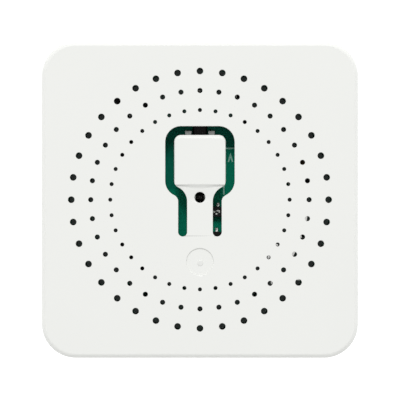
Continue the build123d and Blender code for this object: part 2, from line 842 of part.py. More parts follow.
def output_capacitor():
    return can_capacitor(output_radius, output_height, output_x, output_y)


def choke_core():
    low, high = board_bottom - choke_height, board_bottom
    core = prism(choke_neck, bore_sides, low, high, choke_x, choke_y)
    core += prism(choke_radius, can_sides, low, low + choke_flange, choke_x, choke_y)
    core += prism(choke_radius, can_sides, high - choke_flange, high, choke_x, choke_y)
    hole_low = high - choke_flange - overrun / 4
    return core - [bore(lead_radius + hole_gap, lead_sides, hole_low, high + overrun, x, y)
                   for x, y, _, _ in choke_leads]


def choke_winding():
    low, high = board_bottom - choke_height + choke_flange, board_bottom - choke_flange
    outside = prism(choke_radius - choke_winding_inset, can_sides, low, high, choke_x, choke_y)
    return outside - bore(choke_neck + choke_winding_gap, bore_sides, low - overrun, high + overrun,
                          choke_x, choke_y)


def varistor():
    middle = board_bottom - varistor_standoff - varistor_radius
    disc = prism_along_x(varistor_radius, can_sides, varistor_x - varistor_thickness / 2,
                         varistor_x + varistor_thickness / 2, varistor_y, middle)
    ends = disc.faces().filter_by(Axis.X)
    return chamfer(ends.edges(), varistor_thickness / 4)


def fusible_resistor():
    """A coated body with a bulge at each end, lying along X under the board."""
    z = board_bottom - fuse_radius - can_standoff
    half = fuse_length / 2
    body = prism_along_x(fuse_radius - fuse_waist, bore_sides, fuse_x - half, fuse_x + half, fuse_y, z)
    for side in (-1, 1):
        x_low, x_high = sorted((fuse_x + side * half, fuse_x + side * (half - fuse_end)))
        body += prism_along_x(fuse_radius, bore_sides, x_low, x_high, fuse_y, z)
    return body


def suppression_capacitor():
    case = block(film_length, film_thickness, board_bottom - film_height, board_bottom, film_x, film_y)
    return chamfer(case.edges().filter_by(Axis.Z), film_chamfer)


def wire_lead(x, y, low):
    return prism(lead_radius, lead_sides, low, board_top, x, y)


def component_leads():
    """The wire ends of the cans, choke, varistor, fusible resistor and film capacitor."""
    leads = [wire_lead(x, y, board_bottom - can_standoff) for x, y, _, _ in bulk_leads + output_leads]
    leads += [wire_lead(x, y, board_bottom - choke_flange) for x, y, _, _ in choke_leads]
    chord_reach = varistor_lead_reach - lead_radius
    chord_drop = varistor_radius - math.sqrt(varistor_radius ** 2 - chord_reach ** 2)
    varistor_low = board_bottom - varistor_standoff - chord_drop
    leads += [wire_lead(x, y, varistor_low) for x, y, _, _ in varistor_leads]
    leads += [wire_lead(x, y, board_bottom) for x, y, _, _ in film_leads]
    fuse_z = board_bottom - fuse_radius - can_standoff
    for (x, y, _, _), side in zip(fuse_leads, (-1, 1)):
        upright = wire_lead(x, y, fuse_z - lead_radius)
        x_low, x_high = sorted((x, fuse_x + side * fuse_length / 2))
        leads.append(upright + prism_along_x(lead_radius, lead_sides, x_low, x_high, y, fuse_z))
    return group(leads)


def gull_leg(x, y, side, reach):
    """A bent leg from the side of a chip's body at x, y, out along side and down to the board."""
    inner, outer = y, y + side * reach
    knee = y + side * leg_thickness
    foot = span_block(x - leg_width / 2, x + leg_width / 2, *sorted((inner, outer)),
                      board_top, board_top + leg_thickness)
    return foot + span_block(x - leg_width / 2, x + leg_width / 2, *sorted((inner, knee)),
                             board_top, board_top + leg_rise)


def legged_chip(place, length, width, height, legs_low, legs_high, reach):
    """A moulded chip with legs at the named offsets along its low and high long sides."""
    x, y = (share * board_half for share in place)
    body = block(length, width, board_top + body_standoff, board_top + height, x, y)
    for offset in legs_low:
        body += gull_leg(x + offset, y - width / 2, -1, reach)
    for offset in legs_high:
        body += gull_leg(x + offset, y + width / 2, 1, reach)
    return body


def bridge_rectifier():
    legs = (-bridge_length / 4, bridge_length / 4)
    return legged_chip(bridge_place_shares, bridge_length, bridge_width, bridge_height,
                       legs, legs, leg_reach)


def power_chip():
    legs = [(i - 3 / 2) * chip_leg_pitch for i in range(4)]
    return legged_chip(chip_place_shares, chip_length, chip_width, chip_height, legs, legs, leg_reach)


def voltage_regulator():
    legs = (-regulator_length / 3, 0, regulator_length / 3)
    return legged_chip(regulator_place_shares, regulator_length, regulator_width, regulator_height,
                       legs, (0,), leg_reach)


def signal_transistors():
    pair = (-transistor_leg_pitch / 2, transistor_leg_pitch / 2)
    return group(legged_chip(place, transistor_length, transistor_width, transistor_height,
                             pair, (0,), transistor_leg_reach) for place in transistor_place_shares)


def flat_chip(place, length, width, height):
    return block(length, width, board_top, board_top + height, place[0] * board_half, place[1] * board_half)


def chip_resistors():
    large = [flat_chip(place, resistor_length, resistor_width, resistor_height)
             for place in resistor_place_shares]
    small = [flat_chip(place, small_resistor_width, small_resistor_length, resistor_height)
             for place in small_resistor_place_shares]
    return group(large + small)


def chip_capacitors():
    return group(flat_chip(place, capacitor_chip_length, capacitor_chip_width, capacitor_chip_height)
                 for place in capacitor_place_shares)


def protection_diode():
    """A moulded diode beyond the push switch, with a flat foot at each end."""
    body = block(diode_width, diode_length, board_top + body_standoff, board_top + diode_height, 0, diode_y)
    body = chamfer(body.faces().sort_by(Axis.Z)[-1].edges(), diode_chamfer)
    foot_length = diode_length + 2 * diode_foot_reach
    return body + block(diode_foot_width, foot_length, board_top, board_top + leg_thickness, 0, diode_y)


def tinned_track(start_shares, end_shares):
    """A broad copper track left bare and flooded with solder, for the relay's full current."""
    start = [share * board_half for share in start_shares]
    end = [share * board_half for share in end_shares]
    x, y = (start[0] + end[0]) / 2, (start[1] + end[1]) / 2
    turn = math.degrees(math.atan2(end[1] - start[1], end[0] - start[0]))
    strip = Rectangle(math.dist(start, end) + tinned_width, tinned_width)
    strip = chamfer(strip.vertices(), tinned_corner)
    return Pos(x, y, board_top) * Rot(0, 0, turn) * extrude(strip, tinned_height)


def solder_cone(x, y, radius):
    drawn_in = radius * (1 - joint_top_share) * math.cos(math.pi / lead_sides)
    slope = math.degrees(math.atan2(drawn_in, joint_height))
    return Pos(x, y, board_top) * extrude(RegularPolygon(radius, lead_sides), joint_height, taper=slope)


def solder_joints():
    joints = [solder_cone(x, y, joint) for x, y, _, joint in all_leads]
    tracks = [tinned_track(*places) for places in tinned_place_shares]
    return group((joints[0] + joints[1:] + tracks).solids())


def pieces():
    """Every node's name with the function that makes it."""
    made = {
        "cover": cover, "base": base, "button_tongue": button_tongue, "circuit_board": circuit_board,
        "terminal_housings": lambda: group(terminal_housing(i) for i in range(terminal_count)),
        "terminal_tabs": lambda: group(terminal_tab(x) for x in terminal_xs),
        "tact_switch_body": tact_switch_body, "tact_switch_frame": tact_switch_frame,
        "tact_switch_dome": tact_switch_dome, "tact_switch_plunger": tact_switch_plunger,
        "tact_switch_legs": tact_switch_legs,
        "status_lamp_body": status_lamp_body, "status_lamp_lens": status_lamp_lens,
        "relay_case": relay_case, "relay_base": relay_base, "relay_pins": relay_pins,
        "relay_bobbin": relay_bobbin, "relay_winding": relay_winding, "relay_core": relay_core,
        "relay_yoke": relay_yoke, "relay_armature": relay_armature,
        "relay_leaf_spring": relay_leaf_spring, "relay_fixed_contact": relay_fixed_contact,
        "radio_board": radio_board, "radio_shield": radio_shield, "radio_pins": radio_pins,
        "bulk_capacitors": bulk_capacitors, "output_capacitor": output_capacitor,
        "choke_core": choke_core, "choke_winding": choke_winding, "varistor": varistor,
        "fusible_resistor": fusible_resistor, "suppression_capacitor": suppression_capacitor,
        "component_leads": component_leads, "bridge_rectifier": bridge_rectifier,
        "power_chip": power_chip, "voltage_regulator": voltage_regulator,
        "signal_transistors": signal_transistors, "protection_diode": protection_diode,
        "chip_resistors": chip_resistors, "chip_capacitors": chip_capacitors, "solder_joints": solder_joints,
    }
    for i in range(terminal_count):
        made[f"terminal_screw_{i + 1}"] = lambda i=i: terminal_screw(i)
        made[f"clamp_cage_{i + 1}"] = lambda i=i: clamp_cage(i)
    return made


def main():
    os.makedirs("parts", exist_ok=True)
    for name, make in pieces().items():
        export_step(make(), f"parts/{name}.step")
    print("housing side", round(housing_side, 2), "height", round(face_z, 2))


if __name__ == "__main__":
    main()
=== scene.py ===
import bpy
import bmesh
import json
import math
from mathutils import Matrix, Vector


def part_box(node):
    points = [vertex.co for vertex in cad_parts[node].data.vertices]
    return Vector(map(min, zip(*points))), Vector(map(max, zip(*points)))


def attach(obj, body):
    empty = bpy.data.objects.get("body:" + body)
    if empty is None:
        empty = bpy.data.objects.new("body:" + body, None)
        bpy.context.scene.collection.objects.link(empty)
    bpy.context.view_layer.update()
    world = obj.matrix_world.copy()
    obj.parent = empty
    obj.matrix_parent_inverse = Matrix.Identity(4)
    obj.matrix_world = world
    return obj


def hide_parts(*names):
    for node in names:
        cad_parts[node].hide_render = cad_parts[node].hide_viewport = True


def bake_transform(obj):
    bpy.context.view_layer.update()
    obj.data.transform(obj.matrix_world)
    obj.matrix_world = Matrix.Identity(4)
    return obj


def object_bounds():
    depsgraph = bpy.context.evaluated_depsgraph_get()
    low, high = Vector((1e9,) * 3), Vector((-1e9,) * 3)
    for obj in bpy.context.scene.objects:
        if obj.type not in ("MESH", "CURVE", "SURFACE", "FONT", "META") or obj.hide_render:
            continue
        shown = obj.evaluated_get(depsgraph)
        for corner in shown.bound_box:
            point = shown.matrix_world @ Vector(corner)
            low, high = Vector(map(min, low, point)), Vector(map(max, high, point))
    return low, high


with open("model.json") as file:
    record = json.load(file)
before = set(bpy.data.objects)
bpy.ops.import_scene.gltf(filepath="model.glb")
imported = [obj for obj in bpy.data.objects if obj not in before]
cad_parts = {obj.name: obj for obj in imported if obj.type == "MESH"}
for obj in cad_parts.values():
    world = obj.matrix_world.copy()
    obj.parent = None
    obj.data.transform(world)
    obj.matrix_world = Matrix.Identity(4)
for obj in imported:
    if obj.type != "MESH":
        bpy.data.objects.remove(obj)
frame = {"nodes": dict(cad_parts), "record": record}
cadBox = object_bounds()
print("frame loaded:", len(frame["nodes"]), "nodes")

# Looks of a small white relay module over its CAD frame. Metres; the vented face looks up along Z.
mm = 0.001
bodyOf = {node: body for body, nodes in frame["record"]["behaviour"]["bodies"].items() for node in nodes}
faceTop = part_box("cover")[1][2]
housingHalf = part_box("cover")[1][0]
lipHeight = 1.2 * mm
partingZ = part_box("base")[1][2] - lipHeight  # the base's lip stands above the parting line
boardLow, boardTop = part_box("circuit_board")[0][2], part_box("circuit_board")[1][2]
near = 0.01 * mm  # places this close count as one
flatAngle, sharpAngle, bevelAngle = math.radians(1.0), math.radians(32.0), math.radians(40.0)


# A shader socket that takes part in Python expressions
class Wire:
    def __init__(self, finish, socket):
        self.finish = finish
        self.socket = socket

    def maths(self, operation, *others):
        return self.finish.add("ShaderNodeMath", {"operation": operation}, dict(enumerate((self, *others))))

    def __abs__(self):
        return self.maths("ABSOLUTE")


# Between two wires, or a wire and a number, a Python operator stands for one maths node
operators = {
    "__add__": "ADD", "__sub__": "SUBTRACT", "__mul__": "MULTIPLY", "__truediv__": "DIVIDE",
    "__mod__": "FLOORED_MODULO", "__lt__": "LESS_THAN", "__gt__": "GREATER_THAN", "either": "MAXIMUM",
}
for method, operation in operators.items():
    setattr(Wire, method, lambda self, other, operation=operation: self.maths(operation, other))


# A material: one shader, the object's coordinates, and what its sockets are fed with
class Finish:
    def __init__(self, name, fixed):
        self.material = bpy.data.materials.new(name)
        self.material.use_nodes = True
        self.tree = self.material.node_tree
        self.tree.nodes.clear()
        self.shader = self.tree.nodes.new("ShaderNodeBsdfPrincipled")
        output = self.tree.nodes.new("ShaderNodeOutputMaterial")
        self.tree.links.new(self.shader.outputs[0], output.inputs[0])
        for socket, value in fixed.items():
            self.set(socket, value)
        self.place = self.add("ShaderNodeTexCoord", out="Object")
        self.x, self.y, self.z = self.add("ShaderNodeSeparateXYZ", values={0: self.place}, out=(0, 1, 2))

    # One node: its settings first, then the values or links of its sockets
    def add(self, kind, settings=None, values=None, out=0):
        node = self.tree.nodes.new(kind)
        for setting, value in (settings or {}).items():
            setattr(node, setting, value)
        for socket, value in (values or {}).items():
            self.feed(node.inputs[socket], value)
        if isinstance(out, tuple):
            return tuple(Wire(self, node.outputs[name]) for name in out)
        return Wire(self, node.outputs[out])

    def feed(self, socket, value):
        if isinstance(value, Wire):
            self.tree.links.new(value.socket, socket)
        else:
            socket.default_value = (*value, 1.0) if socket.type == "RGBA" else value

    def set(self, socket, value):
        self.feed(self.shader.inputs[socket], value)

    def mix(self, factor, first, second):
        return self.add("ShaderNodeMix", {"data_type": "RGBA"}, {0: factor, 6: first, 7: second}, out=2)

    def noise(self, scale, detail=2.0, roughness=0.5, place=None):
        values = {"Vector": place or self.place, "Scale": scale, "Detail": detail, "Roughness": roughness}
        return self.add("ShaderNodeTexNoise", values=values)

    def between(self, factor, low, high):
        return self.add("ShaderNodeMapRange", values={0: factor, 3: low, 4: high})

    def stretched(self, scale):
        return self.add("ShaderNodeMapping", values={"Vector": self.place, "Scale": scale})

    def radius(self, x, y):
        across, up = self.x - x, self.y - y
        return (across * across + up * up).maths("SQRT")

    # A bar, for printed lines and for painted highlights: middle x and y, half width and half height, in
    # millimetres
    def bar(self, x, y, halfWidth, halfHeight):
        return (abs(self.x - x * mm) < halfWidth * mm) * (abs(self.y - y * mm) < halfHeight * mm)

    def marked(self, name):
        return self.add("ShaderNodeAttribute", {"attribute_name": name}, out="Fac") > 0.5

    def bump(self, height, distance, strength=1.0, under=None):
        values = {"Height": height, "Distance": distance, "Strength": strength}
        if under is not None:
            values["Normal"] = under
        return self.add("ShaderNodeBump", values=values)

    def surface(self, color, roughness, normal):
        self.set("Base Color", color)
        self.set("Roughness", roughness)
        self.set("Normal", normal)
        return self.material


# Moulded plastic: a fine sparked grain, with faint clouds of colour and gloss
def mouldedPlastic(name, look):
    plastic = Finish(name, {"IOR": 1.49, "Specular IOR Level": look.get("shine", 0.5)})
    color = plastic.mix(plastic.noise(90.0, 3.0), look["color"], look["cloud"])
    roughness = plastic.between(plastic.noise(600.0), *look["gloss"])
    waves = plastic.bump(plastic.noise(260.0, 1.0), 0.01 * mm, 0.15)
    grain = plastic.noise(look["grain"], 4.0, 0.6)
    return plastic.surface(color, roughness, plastic.bump(grain, look["depth"], 0.6, under=waves))


# Rolled or turned metal: fine lines along one direction, with duller patches
def rolledMetal(name, look):
    metal = Finish(name, {"Metallic": 1.0})
    lines = metal.noise(1.0, 5.0, 0.7, place=metal.stretched(look["lines"]))
    return metal.surface(metal.mix(metal.noise(900.0, 3.0), look["color"], look["dull"]),
                         metal.between(lines, *look["gloss"]), metal.bump(lines, 0.002 * mm, 0.5))


# Solder: flowed smooth, with faint frost where it set
def flowedSolder(name, look):
    solder = Finish(name, {"Metallic": 1.0})
    frost = solder.noise(2600.0, 4.0, 0.6)
    return solder.surface(solder.mix(frost, look["color"], look["frost"]),
                          solder.between(frost, *look["gloss"]),
                          solder.bump(solder.noise(700.0, 2.0), look["depth"], 0.5))


# Enamelled copper wire under clear varnish
def enamelledWire(name, look):
    copper = Finish(name, {"Metallic": 1.0, "Coat Weight": 0.6, "Coat Roughness": 0.12})
    return copper.surface(copper.mix(copper.noise(1800.0, 3.0), look["color"], look["dark"]),
                          copper.between(copper.noise(3000.0), 0.2, 0.34),
                          copper.bump(copper.noise(5000.0, 3.0), 0.004 * mm, 0.4))


# Dipped epoxy: thick, glossy and slightly uneven
def dippedCoat(name, look):
    coat = Finish(name, {"Coat Weight": 0.5, "Coat Roughness": 0.08})
    return coat.surface(coat.mix(coat.noise(700.0, 3.0), look["color"], look["cloud"]),
                        coat.between(coat.noise(1200.0), 0.24, 0.4),
                        coat.bump(coat.noise(900.0, 2.0), 0.03 * mm, 0.35))


# A small part whose marked faces are bare tinned metal, with a few bars of painted highlight on top
def partWithMetal(name, look):
    part = Finish(name, {"Specular IOR Level": look.get("shine", 0.18)})
    bare = part.marked("bareMetal")
    clouds = part.noise(2200.0, 3.0)
    body = part.mix(clouds, look["color"], look["cloud"])
    for place in look.get("bars", ()):
        body = part.mix(part.bar(*place) * (part.z > boardTop + look["barsAbove"]), body, look["barColor"])
    part.set("Metallic", bare)
    return part.surface(part.mix(bare, body, look["metal"]), part.between(clouds, 0.3, 0.48),
                        part.bump(part.noise(7000.0, 3.0), 0.005 * mm, 0.5))


# A sleeve with a pale stripe down one side, and a bare end where it is marked
def sleevedCan(name, look):
    can = Finish(name, {"Coat Weight": 0.3, "Coat Roughness": 0.2})
    bare = can.marked("bareMetal")
    stripe = (can.x < look["stripeX"]) * (can.z > look["stripeLow"])
    sleeve = can.mix(can.noise(500.0, 3.0), look["color"], look["cloud"])
    sleeve = can.mix(stripe, sleeve, look["stripe"])
    can.set("Metallic", bare)
    return can.surface(can.mix(bare, sleeve, look["metal"]),
                       can.between(can.noise(1500.0, 4.0), 0.26, 0.42),
                       can.bump(can.noise(1200.0, 3.0), 0.01 * mm, 0.3))


# A printed board: solder mask over tracks and glass cloth, cut edges, and thin printed lines
def printedBoard(name, look):
    board = Finish(name, {"IOR": 1.5, "Specular IOR Level": look["shine"], "Coat Roughness": 0.06})
    across, up = board.x, {"y": board.y, "z": board.z}[look["up"]]
    pitch, width = look["trackPitch"], look["trackWidth"]
    region = board.add("ShaderNodeTexVoronoi", {"distance": "CHEBYCHEV"},
                       {"Vector": board.place, "Scale": look["regions"]}, out="Color")
    choice = board.add("ShaderNodeSeparateColor", values={0: region}, out=0)
    # each region has tracks across it, slanting tracks, full copper or upright tracks
    acrossTo, slantTo, fullTo = 0.25, 0.4, 0.75
    fromMiddle = lambda along, step: abs((along / step) % 1.0 - 0.5)
    acrossTracks = (fromMiddle(across, pitch) < width) * (choice < acrossTo)
    upTracks = (fromMiddle(up, pitch) < width) * (choice > fullTo)
    slantTracks = (fromMiddle(across + up, pitch * 1.4) < width) * (choice > acrossTo) * (choice < slantTo)
    copper = acrossTracks + upTracks + slantTracks + (choice > slantTo) * (choice < fullTo)
    weave = fromMiddle(across, look["weave"]) + fromMiddle(up, look["weave"])
    mask = board.mix(board.noise(300.0, 3.0), look["mask"], look["maskCloud"])
    mask = board.mix(copper * 0.6, mask, look["overCopper"])
    # painted light: the mask is lighter low on the board and right of x 2.2 mm below y 6.6 mm, where the
    # board lies lit in the slits
    if "pour" in look:
        low, right, top = look["pour"]
        paintedLit = (board.y < low).either((board.x > right) * (board.y < top))
        mask = board.mix(paintedLit, mask, look["overPour"])
    marks = [board.bar(*place) for place in look.get("bars", ())]
    for x, y, halfWidth, slope, half, lowest in look.get("chevrons", ()):
        reach = abs(board.x - x * mm)
        stroke = (abs(reach * slope + (board.y - y * mm)) < half * slope * mm) * (reach < halfWidth * mm)
        marks.append(stroke * (board.y > lowest * mm))
    middle, half = look["middle"], look["halfThickness"]
    through = {"y": board.z, "z": board.y}[look["up"]]
    color = board.mix(abs(through - middle) < half - 0.05 * mm, mask, look["laminate"])
    raised = copper * 0.7 + weave * 0.12
    roughness = board.between(board.noise(800.0), 0.34, 0.46)
    for mark in marks:
        printed = mark * (through > middle + half - 0.02 * mm)
        color = board.mix(printed, color, look["print"])
        raised = raised + printed * 0.4
        roughness = roughness + printed * 0.25
    if "lacquerFrom" in look:
        # the supply side is lacquered, and a black disc of painted shade lies on the board under the lamp
        board.set("Coat Weight", (board.radius(0, 0) > look["lacquerFrom"]) * 0.65)
        color = board.mix(board.radius(*look["blackPlace"]) < look["blackRadius"], color, look["black"])
    return board.surface(color, roughness, board.bump(raised, 0.03 * mm, 0.6))


radioLow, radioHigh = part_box("radio_board")
tin = (0.55, 0.56, 0.53)


# The two sizes of can share their look; the stripe lies along the side at low x
def canLook(node, stripeWidth):
    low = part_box(node)[0]
    return {"color": (0.012, 0.014, 0.02), "cloud": (0.02, 0.022, 0.03),
            "stripe": (0.55, 0.56, 0.55), "stripeX": low[0] + stripeWidth, "stripeLow": low[2] + 0.6 * mm,
            "metal": (0.75, 0.75, 0.76)}


looks = {
    "white_case": (mouldedPlastic, {
        "color": (0.79, 0.797, 0.772), "cloud": (0.775, 0.782, 0.757), "gloss": (0.37, 0.45),
        "grain": 7000.0, "depth": 0.004 * mm, "shine": 0.35}),
    "terminal_plastic": (mouldedPlastic, {
        "color": (0.7, 0.705, 0.69), "cloud": (0.67, 0.675, 0.66), "gloss": (0.3, 0.4),
        "grain": 6000.0, "depth": 0.005 * mm}),
    "dark_plastic": (mouldedPlastic, {
        "color": (0.012, 0.012, 0.013), "cloud": (0.02, 0.02, 0.022), "gloss": (0.42, 0.54),
        "grain": 9000.0, "depth": 0.008 * mm}),
    # painted shade: the lamp's lens is near black, so that the deep lamp hole looks dark
    "lamp_lens": (mouldedPlastic, {
        "color": (0.005, 0.005, 0.004), "cloud": (0.008, 0.008, 0.007), "gloss": (0.3, 0.4),
        "grain": 5000.0, "depth": 0.003 * mm, "shine": 0.25}),
    "relay_case": (mouldedPlastic, {
        "color": (0.012, 0.03, 0.085), "cloud": (0.018, 0.04, 0.11), "gloss": (0.26, 0.34),
        "grain": 5000.0, "depth": 0.004 * mm}),
    "film_case": (mouldedPlastic, {
        "color": (0.62, 0.5, 0.05), "cloud": (0.56, 0.45, 0.05), "gloss": (0.3, 0.38),
        "grain": 5000.0, "depth": 0.005 * mm}),
    "plated_steel": (rolledMetal, {
        "color": (0.68, 0.69, 0.7), "dull": (0.52, 0.53, 0.55), "gloss": (0.22, 0.42),
        "lines": (900.0, 9000.0, 9000.0)}),
    "tinned_brass": (rolledMetal, {
        "color": (0.78, 0.76, 0.69), "dull": (0.64, 0.6, 0.5), "gloss": (0.2, 0.4),
        "lines": (9000.0, 900.0, 9000.0)}),
    "solder": (flowedSolder, {
        "color": (0.9, 0.9, 0.87), "frost": (0.8, 0.8, 0.78), "gloss": (0.05, 0.16),
        "depth": 0.012 * mm}),
    "dull_solder": (flowedSolder, {
        "color": (0.42, 0.43, 0.41), "frost": (0.33, 0.34, 0.33), "gloss": (0.2, 0.3),
        "depth": 0.01 * mm}),
    "copper": (enamelledWire, {"color": (0.72, 0.3, 0.12), "dark": (0.5, 0.17, 0.06)}),
    "varistor_coat": (dippedCoat, {
        "color": (0.01, 0.09, 0.3), "cloud": (0.015, 0.12, 0.36)}),
    "fuse_coat": (dippedCoat, {
        "color": (0.05, 0.16, 0.08), "cloud": (0.07, 0.2, 0.1)}),
    "chip_black": (partWithMetal, {
        "color": (0.008, 0.008, 0.008), "cloud": (0.014, 0.014, 0.014), "metal": tin,
        # painted highlights: pale bars on the transistor's top, where light glints
        "bars": ((2.36, -1.42, 0.2, 0.08), (2.5, -1.56, 0.07, 0.12), (1.82, -1.55, 0.12, 0.1),
                 (2.13, -1.82, 0.12, 0.09)),
        "barsAbove": 0.95 * mm, "barColor": (0.85, 0.87, 0.82)}),
    "chip_brown": (partWithMetal, {
        "color": (0.34, 0.21, 0.09), "cloud": (0.42, 0.28, 0.13), "metal": tin}),
    # painted shade: the lamp's body is near black, for the dark lamp hole
    "lamp_body": (partWithMetal, {
        "color": (0.02, 0.02, 0.02), "cloud": (0.03, 0.03, 0.03), "metal": tin}),
    "bulk_can": (sleevedCan, canLook("bulk_capacitors", 0.5 * mm)),
    "output_can": (sleevedCan, canLook("output_capacitor", 0.35 * mm)),
    "green_board": (printedBoard, {
        "up": "y", "middle": (boardLow + boardTop) / 2, "halfThickness": (boardTop - boardLow) / 2,
        "mask": (0.0, 0.165, 0.105), "maskCloud": (0.0, 0.195, 0.125),
        "overCopper": (0.0, 0.22, 0.135),
        # painted light: a lighter mask over the lit parts of the board in the slits
        "pour": (1.4 * mm, 2.2 * mm, 6.6 * mm), "overPour": (0.0, 0.275, 0.158),
        "laminate": (0.35, 0.36, 0.2), "print": (0.42, 0.8, 0.66), "shine": 0.06,
        # painted shade: a black disc on the board under the lamp, for the dark lamp hole
        "lacquerFrom": 10.4 * mm, "blackPlace": (0, 0.3 * mm), "blackRadius": 1.5 * mm,
        "black": (0.005, 0.005, 0.005),
        "trackPitch": 1.1 * mm, "trackWidth": 0.14, "regions": 210.0, "weave": 0.42 * mm,
        "bars": ((3.87, 6.63, 0.55, 0.09), (3.09, 1.29, 0.1, 0.66)),
        # apex x and y, half width, slope, half the stroke's width, and lowest y
        "chevrons": ((3.95, 5.775, 0.36, 3.3, 0.1, 4.88),)}),
    "radio_board": (printedBoard, {
        "up": "z", "middle": (radioLow[1] + radioHigh[1]) / 2,
        "halfThickness": (radioHigh[1] - radioLow[1]) / 2,
        "mask": (0.004, 0.02, 0.06), "maskCloud": (0.006, 0.03, 0.08),
        "overCopper": (0.01, 0.05, 0.12),
        "laminate": (0.35, 0.36, 0.2), "shine": 0.3,
        "trackPitch": 0.8 * mm, "trackWidth": 0.16, "regions": 260.0, "weave": 0.3 * mm}),
}
finishes = {name: make(name, look) for name, (make, look) in looks.items()}
print("finishes made:", len(finishes))


# Joins faces that lie in one plane
def joinFlats(bm):
    bmesh.ops.dissolve_limit(bm, angle_limit=flatAngle, verts=bm.verts, edges=bm.edges,
                             use_dissolve_boundaries=False, delimit={"NORMAL"})


# A CAD node's mesh, merged, with its flat faces joined up where that is asked
def cadCopy(node, join=True):
    bm = bmesh.new()
    bm.from_mesh(frame["nodes"][node].data)
    bmesh.ops.remove_doubles(bm, verts=bm.verts, dist=0.0005 * mm)
    if join:
        joinFlats(bm)
    return bm


def addObject(name, data):
    thing = bpy.data.objects.new(name, data)
    bpy.context.scene.collection.objects.link(thing)
    return thing


# Puts a finished mesh in the scene, on its body, in place of the CAD nodes that it stands for
def addPiece(name, bm, finish, nodes=(), body="housing", slot=None, bevel=0.0, segments=2, ride=True):
    mesh = bpy.data.meshes.new(name)
    bm.to_mesh(mesh)
    bm.free()
    mesh.materials.append(finishes[finish])
    mesh.polygons.foreach_set("use_smooth", [True] * len(mesh.polygons))
    mesh.set_sharp_from_angle(angle=sharpAngle)
    piece = addObject(name, mesh)
    if bevel:
        rounding = piece.modifiers.new("rounding", "BEVEL")
        rounding.width = bevel
        rounding.segments = segments
        rounding.limit_method = "ANGLE"
        rounding.angle_limit = bevelAngle
        evened = piece.modifiers.new("flat faces", "WEIGHTED_NORMAL")
        evened.keep_sharp = True
    if ride:
        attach(piece, bodyOf[nodes[0]] if nodes else body)
    if nodes:
        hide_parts(*nodes)
    return piece


# Large level faces are shaded flat, so that the rounded rims beside them don't tint them
def flattenLevels(piece):
    for polygon in piece.data.polygons:
        if abs(polygon.normal.z) > 0.99999:
            polygon.use_smooth = False


# A finished mesh that stands for one CAD node
def showNode(node, bm, finish, **rest):
    return addPiece(node + "_shown", bm, finish, [node], **rest)


def levelFaces(bm, z):
    return [face for face in bm.faces if all(abs(vert.co.z - z) < near for vert in face.verts)]


# A run of rings about one upright line, each given as (radius, height); returns its last ring
def ringTube(bm, x, y, rings, sides):
    circle = bmesh.ops.create_circle(bm, segments=sides, radius=rings[0][0],
                                     matrix=Matrix.Translation((x, y, rings[0][1])))
    loop = list({edge for vert in circle["verts"] for edge in vert.link_edges})
    last = rings[0][0]
    for radius, height in rings[1:]:
        grown = bmesh.ops.extrude_edge_only(bm, edges=loop)["geom"]
        loop = [part for part in grown if isinstance(part, bmesh.types.BMEdge)]
        for vert in (part for part in grown if isinstance(part, bmesh.types.BMVert)):
            vert.co = (x + (vert.co.x - x) * radius / last, y + (vert.co.y - y) * radius / last, height)
        last = radius
    return loop


# Fills whatever is open in each of these level planes, round every hole in it
def closeLevels(bm, *heights):
    for z in heights:
        rim = [edge for edge in bm.edges if len(edge.link_faces) < 2
               and all(abs(vert.co.z - z) < near for vert in edge.verts)]
        bmesh.ops.triangle_fill(bm, use_beauty=True, use_dissolve=False, edges=rim)


def dropFaces(bm, faces):
    bmesh.ops.delete(bm, geom=list(faces), context="FACES")


# How far a point lies outside the housing's rounded square; negative inside it
def outsideOutline(x, y, corner=4.4 * mm):
    dx, dy = abs(x) - (housingHalf - corner), abs(y) - (housingHalf - corner)
    return math.hypot(max(dx, 0), max(dy, 0)) + min(max(dx, dy), 0) - corner


# Edges between faces that turn by more than an angle, and both whose ends pass a test
def creases(bm, test, sharperThan=0.3):
    return [edge for edge in bm.edges if len(edge.link_faces) == 2
            and edge.calc_face_angle(0) > sharperThan and all(test(vert.co) for vert in edge.verts)]


def levelCreases(bm, z, test):
    return creases(bm, lambda place: abs(place.z - z) < near and test(place))


def roundOff(bm, edges, width, segments):
    bmesh.ops.bevel(bm, geom=edges, affect="EDGES", offset=width, offset_type="OFFSET",
                    segments=segments, profile=0.5, material=-1, clamp_overlap=False)


# The case's halves: a broad rounding round the outer face, and a fine one at the parting line
caseShape = {"edge": 0.4 * mm, "edgeRound": 0.15 * mm, "edgeReach": 0.5 * mm, "partingRound": 0.12 * mm,
             "partingReach": 0.02 * mm}


def roundCase(bm, faceZ, inward):
    shape = caseShape
    atEdge = lambda place: outsideOutline(place.x, place.y) > -shape["edgeReach"]
    edges = levelCreases(bm, faceZ, atEdge) + levelCreases(bm, faceZ + inward * shape["edge"], atEdge)
    roundOff(bm, edges, shape["edgeRound"], 3)
    atParting = lambda place: outsideOutline(place.x, place.y) > -shape["partingReach"]
    roundOff(bm, levelCreases(bm, partingZ, atParting), shape["partingRound"], 2)


# A turned shape: a profile of (radius, distance along the axis) spun about a line through a point
def turned(bm, profile, place, axis="z", steps=40):
    along = Vector({"x": (1, 0, 0), "y": (0, 1, 0), "z": (0, 0, 1)}[axis])
    out = Vector({"x": (0, 1, 0), "y": (1, 0, 0), "z": (1, 0, 0)}[axis])
    start = Vector(place)
    start -= along * start.dot(along)
    verts = [bm.verts.new(start + out * radius + along * distance) for radius, distance in profile]
    edges = [bm.edges.new(pair) for pair in zip(verts, verts[1:])]
    bmesh.ops.spin(bm, geom=verts + edges, cent=start, axis=along, dvec=(0, 0, 0),
                   angle=2 * math.pi, steps=steps, use_merge=True, use_duplicate=False)


def closeTurned(bm):
    bmesh.ops.remove_doubles(bm, verts=bm.verts, dist=0.0002 * mm)
    bmesh.ops.recalc_face_normals(bm, faces=bm.faces)


# A node whose whole shape is one turned solid
def turnNode(node, finish, profile, place, axis="z", steps=40):
    bm = bmesh.new()
    turned(bm, profile, place, axis, steps)
    closeTurned(bm)
    showNode(node, bm, finish)


def middleOf(low, high):
    return [(a + b) / 2 for a, b in zip(low, high)]


